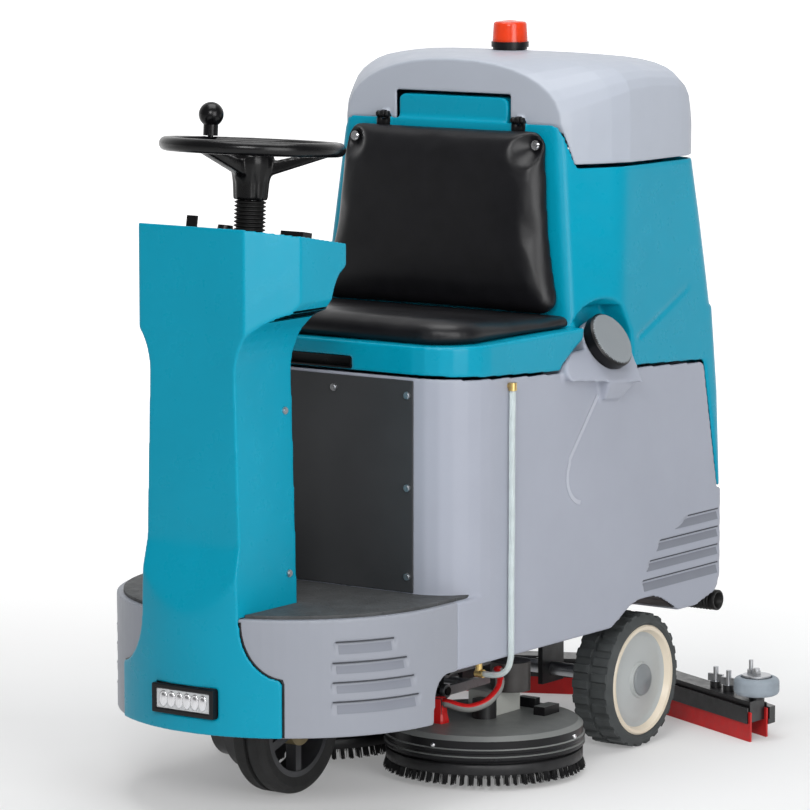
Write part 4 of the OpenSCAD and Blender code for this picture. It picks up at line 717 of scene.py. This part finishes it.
BRISTLE_TOP, BRISTLE_FOOT, BRISTLE_MOST = 0.046, 0.010, 0.1842
# Radii of the even inner rows and of the two tufted outer rows, in millimetres
INNER_ROWS, OUTER_ROWS, TUFTS = np.linspace(60, 118, 7), (163, 172), 68
BLOCK_RIM = [
    (0.0, 0.048), (0.1765, 0.048), (0.1785, 0.046), (0.1785, 0.030), (0.177, 0.0285), (0.152, 0.0285),
    (0.150, 0.044), (0.0, 0.044),
]


def bristles(name, node, s, body):
    """A brush block with single bristles that lean outwards."""
    cx, cy = s * BRUSH[0] / 1000, BRUSH[1] / 1000 + FRONT
    verts, faces = [], []
    # Radius, angle, number of strands and spread of each tuft
    roots = []
    for r in INNER_ROWS:
        n = int(2 * math.pi * r / 9)
        roots += [(r, 2 * math.pi * (i + 0.5 * rng.random()) / n, 4, 0.9) for i in range(n)]
    for r in OUTER_ROWS:
        roots += [(r, 2 * math.pi * i / TUFTS, 24, 1.7) for i in range(TUFTS)]
    for r, a0, strands, spread in roots:
        for _ in range(strands):
            a = a0 + rng.normal(0, spread) / r
            r0 = (r + rng.normal(0, 0.9 * spread)) / 1000
            lean = 0.0075 * (r / OUTER_ROWS[1]) ** 3 + rng.normal(0, 0.0012)
            r1 = min(r0 + lean, BRISTLE_MOST)
            side = rng.normal(0, 0.0012)
            base = len(verts)
            for t, w in ((0, 0.00075), (0.5, 0.0007), (1, 0.0004)):
                rr = r0 + (r1 - r0) * t ** 1.6
                z = BRISTLE_TOP + (BRISTLE_FOOT + rng.uniform(0, 0.0012) - BRISTLE_TOP) * t
                ca, sa = math.cos(a), math.sin(a)
                px, py = cx + rr * ca - side * t * sa, cy + rr * sa + side * t * ca
                for q in range(3):
                    b = a + 2.0944 * q
                    verts.append((px + w * math.cos(b), py + w * math.sin(b), z))
            for m in (0, 3):
                for q in range(3):
                    p = (q + 1) % 3
                    faces.append((base + m + q, base + m + p, base + m + 3 + p, base + m + 3 + q))
            faces.append((base + 6, base + 7, base + 8))
    rim = lathe(BLOCK_RIM, 96, Matrix.Translation((cx, cy, 0)))
    o = add(name, *merge(rim, (verts, faces)), BRISTLE, body, "bristle")
    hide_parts(node)


bristles("brush_hair_left", "bristles_l", 1, "brush_left")
bristles("brush_hair_right", "bristles_r", -1, "brush_right")


# Pressed grooves in the nose and body: a strip of painted shadow under the upper lip, and a strip of painted
# shade on the ramp below

# Depths in millimetres of the painted shadow strip under a groove's lip, and of the groove.
SHADOW_DEEP, SHADOW_SHALLOW, GROOVE_DEEP = 5.5, 1.0, 5
# Foot, top, and the two ends as angles round the nose
LOUVRES = [(298, 322, -41, -20), (264, 286, -42, -15), (230, 252, -42, -12), (194, 218, -42, -10)]
# Rear grooves on the body's sides: foot, top, and the front end's Y at foot and top
REAR_GROOVES = [(393, 416, 782, 836), (360, 382, 722, 738), (326, 348, 688, 704), (290, 314, 684, 676)]


def tube_faces(n):
    """Faces of a closed strip with n cross-sections of 4 points."""
    faces = []
    for k in range(0, 4 * n - 4, 4):
        faces += [(k + j, k + (j + 1) % 4, k + 4 + (j + 1) % 4, k + 4 + j) for j in range(4)]
    return faces + [(3, 2, 1, 0), tuple(range(4 * n - 4, 4 * n))]


def nose_at(s, deg):
    """Gives the place in plan for a depth and a height, at an angle round the nose."""
    a = math.radians(deg)

    def at(depth, z):
        return s * (HALF_W - depth) * math.cos(a), NOSE_Y + (HALF_W - depth) * math.sin(a)

    return at


def side_at(s, y_foot, y_top, foot, top):
    """Gives the place in plan for a depth and a height, along a sloping line on the body's side."""
    def at(depth, z):
        return s * (HALF_W - depth), y_foot + (y_top - y_foot) * (z - foot) / (top - foot)

    return at


def groove_shadow_strip(places, top):
    """A thin strip of painted shadow in the deep upper corner of a groove."""
    verts = []
    for at in places:
        outer, inner = at(SHADOW_SHALLOW, top), at(SHADOW_DEEP, top)
        verts += [P(*outer, top - 0.4), P(*inner, top - 0.4), P(*inner, top - 2.6), P(*outer, top - 2.6)]
    return verts, tube_faces(len(places))


def ramp_shade_strip(places, top, foot):
    """A thin strip of painted shade on a groove's sloping face."""
    verts, faces = [], []
    for at in places:
        for z in (top - 7, foot + 2):
            depth = (GROOVE_DEEP + 0.2) * (z - foot) / (top - 5 - foot) - 0.9
            verts += [P(*at(depth, z), z), P(*at(depth + 0.6, z), z)]
    for k in range(0, 4 * len(places) - 4, 4):
        faces += [(k, k + 4, k + 6, k + 2), (k + 1, k + 3, k + 7, k + 5)]
        faces += [(k, k + 1, k + 5, k + 4), (k + 2, k + 6, k + 7, k + 3)]
    k = 4 * len(places) - 4
    return verts, faces + [(0, 2, 3, 1), (k, k + 1, k + 3, k + 2)]


shadow_strips, shade_strips = [], []
for foot, top, a0, a1 in LOUVRES:
    for s in (1, -1):
        places = [nose_at(s, a) for a in np.linspace(a0 + 0.6, a1 - 0.6, 24)]
        shadow_strips.append(groove_shadow_strip(places, top))
        shade_strips.append(ramp_shade_strip(places[1:-1], top, foot))
for foot, top, y_foot, y_top in REAR_GROOVES:
    for s in (1, -1):
        front = side_at(s, y_foot + 2, y_top + 2, foot, top)
        shadow_end, ramp_end = [side_at(s, BODY_BACK - y, BODY_BACK - y, foot, top) for y in (24, 26)]
        shadow_strips.append(groove_shadow_strip([front, shadow_end], top))
        shade_strips.append(ramp_shade_strip([front, ramp_end], top, foot))
# Painted shadow under the groove lips and painted shade on the groove ramps, as thin strips.
add("groove_slots", *merge(*shadow_strips), PAINTED_GROOVE_SHADOW, "chassis", "dark_panel", smooth=False)
add("groove_ramps", *merge(*shade_strips), PAINTED_RAMP_SHADE, "chassis", "grey_plastic", smooth=False)

# Painted highlight along the pressed line of the body's sides: a straight part, then a hook. Y and Z.
CREASE_TOP, CREASE_BEND, CREASE_FOOT, CREASE_R, CREASE_HALF = (524, 676), (432, 570), (474, 536), 49.5, 4
PAINTED_CREASE_HIGHLIGHT_SECTION = [(-1, HALF_W - 3), (-1, HALF_W + 0.3), (1, HALF_W + 0.3), (1, HALF_W - 3)]
highlight_line = list(np.linspace(CREASE_TOP, CREASE_BEND, 8))
for a in np.radians(np.linspace(150, 262, 16)):
    highlight_line.append((CREASE_FOOT[0] + CREASE_R * math.cos(a), CREASE_FOOT[1] + CREASE_R * math.sin(a)))
highlight_strips = []
for s in (1, -1):
    verts = []
    for (y, z), (dy, dz) in zip(highlight_line, headings(np.array(highlight_line))):
        for off, x in PAINTED_CREASE_HIGHLIGHT_SECTION:
            verts.append(P(s * x, y + off * CREASE_HALF * dz, z - off * CREASE_HALF * dy))
    highlight_strips.append((verts, tube_faces(len(highlight_line))))
add("side_bands", *merge(*highlight_strips), PAINTED_CREASE_HIGHLIGHT, "chassis", "grey_plastic", smooth=False)

# Painted shadow in the gap where the cowl's skirt lies on the nose: straight up, then in to the column. X and
# Z.
SKIRT_X, SKIRT_BEND, BASE_FOOT, BASE_TOP, COLUMN_W = 171, 250, 155, 360, 208
# The curve's centre in X and its radius in Z
GAP_SHADOW_X, GAP_SHADOW_R = 180, 100
GAP_SHADOW_SECTION = [(-2, 0.1), (-2, 1.4), (2.4, 1.4), (2.4, 0.1)]
gap_shadow = [(SKIRT_X, z) for z in np.linspace(BASE_FOOT + 2, SKIRT_BEND, 12)]
for a in np.radians(np.linspace(262, 180, 20)):
    gap_shadow.append((GAP_SHADOW_X + (GAP_SHADOW_X - COLUMN_W / 2) * math.cos(a), BASE_TOP - 5 + GAP_SHADOW_R * math.sin(a)))
gap_shadows = []
for s in (1, -1):
    verts = []
    for (x, z), (dx, dz) in zip(gap_shadow, headings(np.array(gap_shadow))):
        for off, rise in GAP_SHADOW_SECTION:
            u = x + off * dz
            verts.append(P(s * u, NOSE_Y - math.sqrt((HALF_W + rise) ** 2 - u * u), z - off * dx))
    gap_shadows.append((verts, tube_faces(len(gap_shadow))))
add("skirt_seam", *merge(*gap_shadows), BLACK, "chassis", "black_rubber")

# Bolts round the brush covers
COVER_R, COVER_BOLT_Z = 178, 80
BOLT_HEAD = [(0.0044, 0.0), (0.0044, 0.002), (0.004, 0.004), (0.0025, 0.0052), (0.0, 0.0052)]
bolts = []
for s in (1, -1):
    for deg in (-86, 8, 94, 184):
        a = math.radians(deg)
        out = Matrix.Rotation(math.radians(90), 4, Vector((-math.sin(a), s * math.cos(a), 0)))
        seat = P(s * (BRUSH[0] + COVER_R * math.cos(a)), BRUSH[1] + COVER_R * math.sin(a), COVER_BOLT_Z)
        bolts.append(lathe(BOLT_HEAD, 20, Matrix.Translation(seat) @ out))
add("cover_bolts", *merge(*bolts), CHROME, "deck", "steel")

# Red terminal covers on the deck: octagons, each with a height and half a width
LUG, CUT = (-38, -85), 0.75
TERMINAL = ((0.2, 12.5), (5, 12.5), (18, 10), (44, 9.2), (47, 7.5))
OCTAGON = [(-1, -CUT), (-CUT, -1), (CUT, -1), (1, -CUT), (1, CUT), (CUT, 1), (-CUT, 1), (-1, CUT)]
for s, side in SIDES:
    x, y = s * (BRUSH[0] + LUG[0]), BRUSH[1] + LUG[1]
    verts, faces = [], [tuple(range(7, -1, -1)), tuple(range(32, 40))]
    for z, half in TERMINAL:
        verts += [P(x + half * u, y + half * v, BRUSH[2] + z) for u, v in OCTAGON]
    for k in range(0, 32, 8):
        faces += [(k + i, k + (i + 1) % 8, k + 8 + (i + 1) % 8, k + 8 + i) for i in range(8)]
    add(f"terminal_cover_{side}", verts, faces, RED_PLASTIC, "deck", "red_rubber", smooth=False)

# Lamps behind the headlight's lens
LAMPS, LAMP_PITCH, LAMP_TALL, LAMP_Y, LAMP_Z = 6, 17, 1.7, -293.8, 211
LAMP = [
    (0.0083, -0.0005), (0.008, 0.0012), (0.0068, 0.0006), (0.0055, 0.0012), (0.003, 0.0019), (0.0, 0.0021),
]
domes = []
for i in range(LAMPS):
    at = Matrix.Translation(P((i - (LAMPS - 1) / 2) * LAMP_PITCH, LAMP_Y, LAMP_Z))
    at = at @ Matrix.Rotation(math.radians(90), 4, "X") @ Matrix.Diagonal((1, LAMP_TALL, 1, 1))
    domes.append(lathe(LAMP, 28, at))
add("lamp_row", *merge(*domes), CHROME, "chassis", "lamp_lens")

# Hub caps on the rear wheels
HUB_FACE = 309
HUB_CAP = [
    (0.0295, -0.0004), (0.0295, 0.0002), (0.0285, 0.002), (0.024, 0.004), (0.0135, 0.0045), (0.012, 0.0055),
    (0.0, 0.0055),
]
for s, side in SIDES:
    face = Matrix.Translation(P(s * HUB_FACE, *REAR_AXLE)) @ Matrix.Rotation(s * math.radians(90), 4, "Y")
    add(f"hub_cap_{side}", *lathe(HUB_CAP, 48, face), CAP_GREY, f"rear_wheel_{side}", "hub_cream")

# Second colours on single CAD pieces, from these heights and radii outwards
CAP_AXIS = np.array((math.cos(math.radians(32)), 0, math.sin(math.radians(32))), np.float32)
GRIP_TOP, STUD_FOOT, MOTOR_FOOT = 0.8, 0.084, (BRUSH[2] + 44.5) / 1000
SPOKE_R, CREAM_R = 0.033, 0.0885


def tint_node(name, mat, pick):
    """Tint a CAD node where pick(points in the frame) says."""
    tint(nodes[name], mat, lambda c, n: pick(place(nodes[name], c)))


def off_axle(c, axle):
    """Distance from an axle along X."""
    return np.linalg.norm(c[:, 1:] - np.array(P(0, *axle).yz), axis=1)


tint(nodes["filler_cap"], CAP_FACE, lambda c, n: c @ CAP_AXIS > (c @ CAP_AXIS).max() - 0.001)
tint(nodes["deck_covers"], BLACK, lambda c, n: n[:, 2] < 0.6)
tint_node("seat_fittings", BLACK, lambda c: c[:, 2] < GRIP_TOP)
tint_node("drive_hub", SPOKE, lambda c: off_axle(c, DRIVE_AXLE) > SPOKE_R)
tint_node("brush_motors", FRAME, lambda c: c[:, 1] < P(0, BRUSH[1] + 15, 0).y)
tint_node("brush_motors", MOTOR, lambda c: c[:, 2] > MOTOR_FOOT)
tint_node("squeegee_frame", STEEL, lambda c: c[:, 2] > STUD_FOOT)
for name in ("rear_hub_l", "rear_hub_r"):
    tint_node(name, CREAM, lambda c: off_axle(c, REAR_AXLE) > CREAM_R)

# Bevels on machined and moulded pieces that stay as they are, in millimetres
BEVEL = {
    "chassis_frame": 2, "foot_mat": 1.5, "column_back": 1, "dash_panel": 1.5, "headlight_bezel": 2,
    "kick_panel": 1.2, "fixings": 0.8, "battery_pack": 4, "drive_fork": 2, "drive_motor": 3, "drive_hub": 1.5,
    "rear_tyre_l": 1.5, "rear_tyre_r": 1.5, "rear_hub_l": 1, "rear_hub_r": 1, "deck_covers": 1.2,
    "brush_motors": 3, "squeegee_arm": 2, "squeegee_frame": 2.5, "squeegee_blades": 0.6, "beacon_base": 1.5,
    "filler_cap": 2, "dash_knob": 1, "dash_rocker": 2, "dash_key": 0.8, "drive_pedal": 2, "deck_arms_upper": 1,
    "deck_arms_lower": 1, "vacuum_motor": 3, "spinner_knob": 1,
}
for name, width in BEVEL.items():
    o = nodes[name]
    o.modifiers.new("weld", "WELD").merge_threshold = 2e-5
    b = o.modifiers.new("bevel", "BEVEL")
    b.width = width / 1000
    b.segments = 2
    b.limit_method = "ANGLE"
    b.angle_limit = math.radians(38)
    b.harden_normals = False
    o.modifiers.new("normals", "WEIGHTED_NORMAL").keep_sharp = True

# Pale floor that glows more towards the back of the photograph
LOOK = (-0.574, 0.808, -0.135)
bpy.ops.mesh.primitive_plane_add(size=80, location=(0, 0, 0))
floor = bpy.context.object
floor.name = "floor"
ground = Mat("pale_floor", (0.62, 0.62, 0.62), 0.7)
ground.tone(2, 0.01)
ground.b.inputs["Specular IOR Level"].default_value = 0.1
behind = ground.node("ShaderNodeVectorMath")
behind.operation = "DOT_PRODUCT"
behind.inputs[1].default_value = LOOK
ground.link(ground.pos, behind.inputs[0])
glow = ground.remap(behind.outputs["Value"], 0.3, 3.5, 0.22, 0.93)
ground.b.inputs["Emission Color"].default_value = (1, 1, 1, 1)
ground.link(glow, ground.b.inputs["Emission Strength"])
floor.data.materials.append(ground.m)

# White behind the machine, darker on the side that it faces
world = bpy.data.worlds.new("studio")
scene.world = world
world.use_nodes = True
tree = world.node_tree
facing = tree.nodes.new("ShaderNodeVectorMath")
facing.operation = "DOT_PRODUCT"
facing.inputs[1].default_value = LOOK
tree.links.new(tree.nodes.new("ShaderNodeTexCoord").outputs["Generated"], facing.inputs[0])
level = tree.nodes.new("ShaderNodeMapRange")
for i, v in zip(("From Min", "From Max", "To Min", "To Max"), (0.0, 0.85, 0.22, 0.98)):
    level.inputs[i].default_value = v
tree.links.new(facing.outputs["Value"], level.inputs["Value"])
tree.links.new(level.outputs["Result"], tree.nodes["Background"].inputs["Strength"])
tree.nodes["Background"].inputs["Color"].default_value = (1, 1, 1, 1)


def area(name, loc, target, size, power):
    """A rectangular light aimed at a target."""
    d = bpy.data.lights.new(name, "AREA")
    d.shape = "RECTANGLE"
    d.size, d.size_y = size
    d.energy = power
    o = bpy.data.objects.new(name, d)
    scene.collection.objects.link(o)
    o.location = loc
    o.rotation_euler = (Vector(target) - o.location).to_track_quat("-Z", "Y").to_euler()


area("key", (4.1, -2.0, 1.8), (0, 0, 0.8), (2.4, 3.0), 110)
area("front", (2.4, -4.6, 3.2), (0, 0, 0.7), (1.6, 1.6), 105)
area("top", (0.2, -0.2, 4.2), (0, 0, 0.5), (2.6, 2.6), 90)
scene.view_settings.view_transform = "Standard"
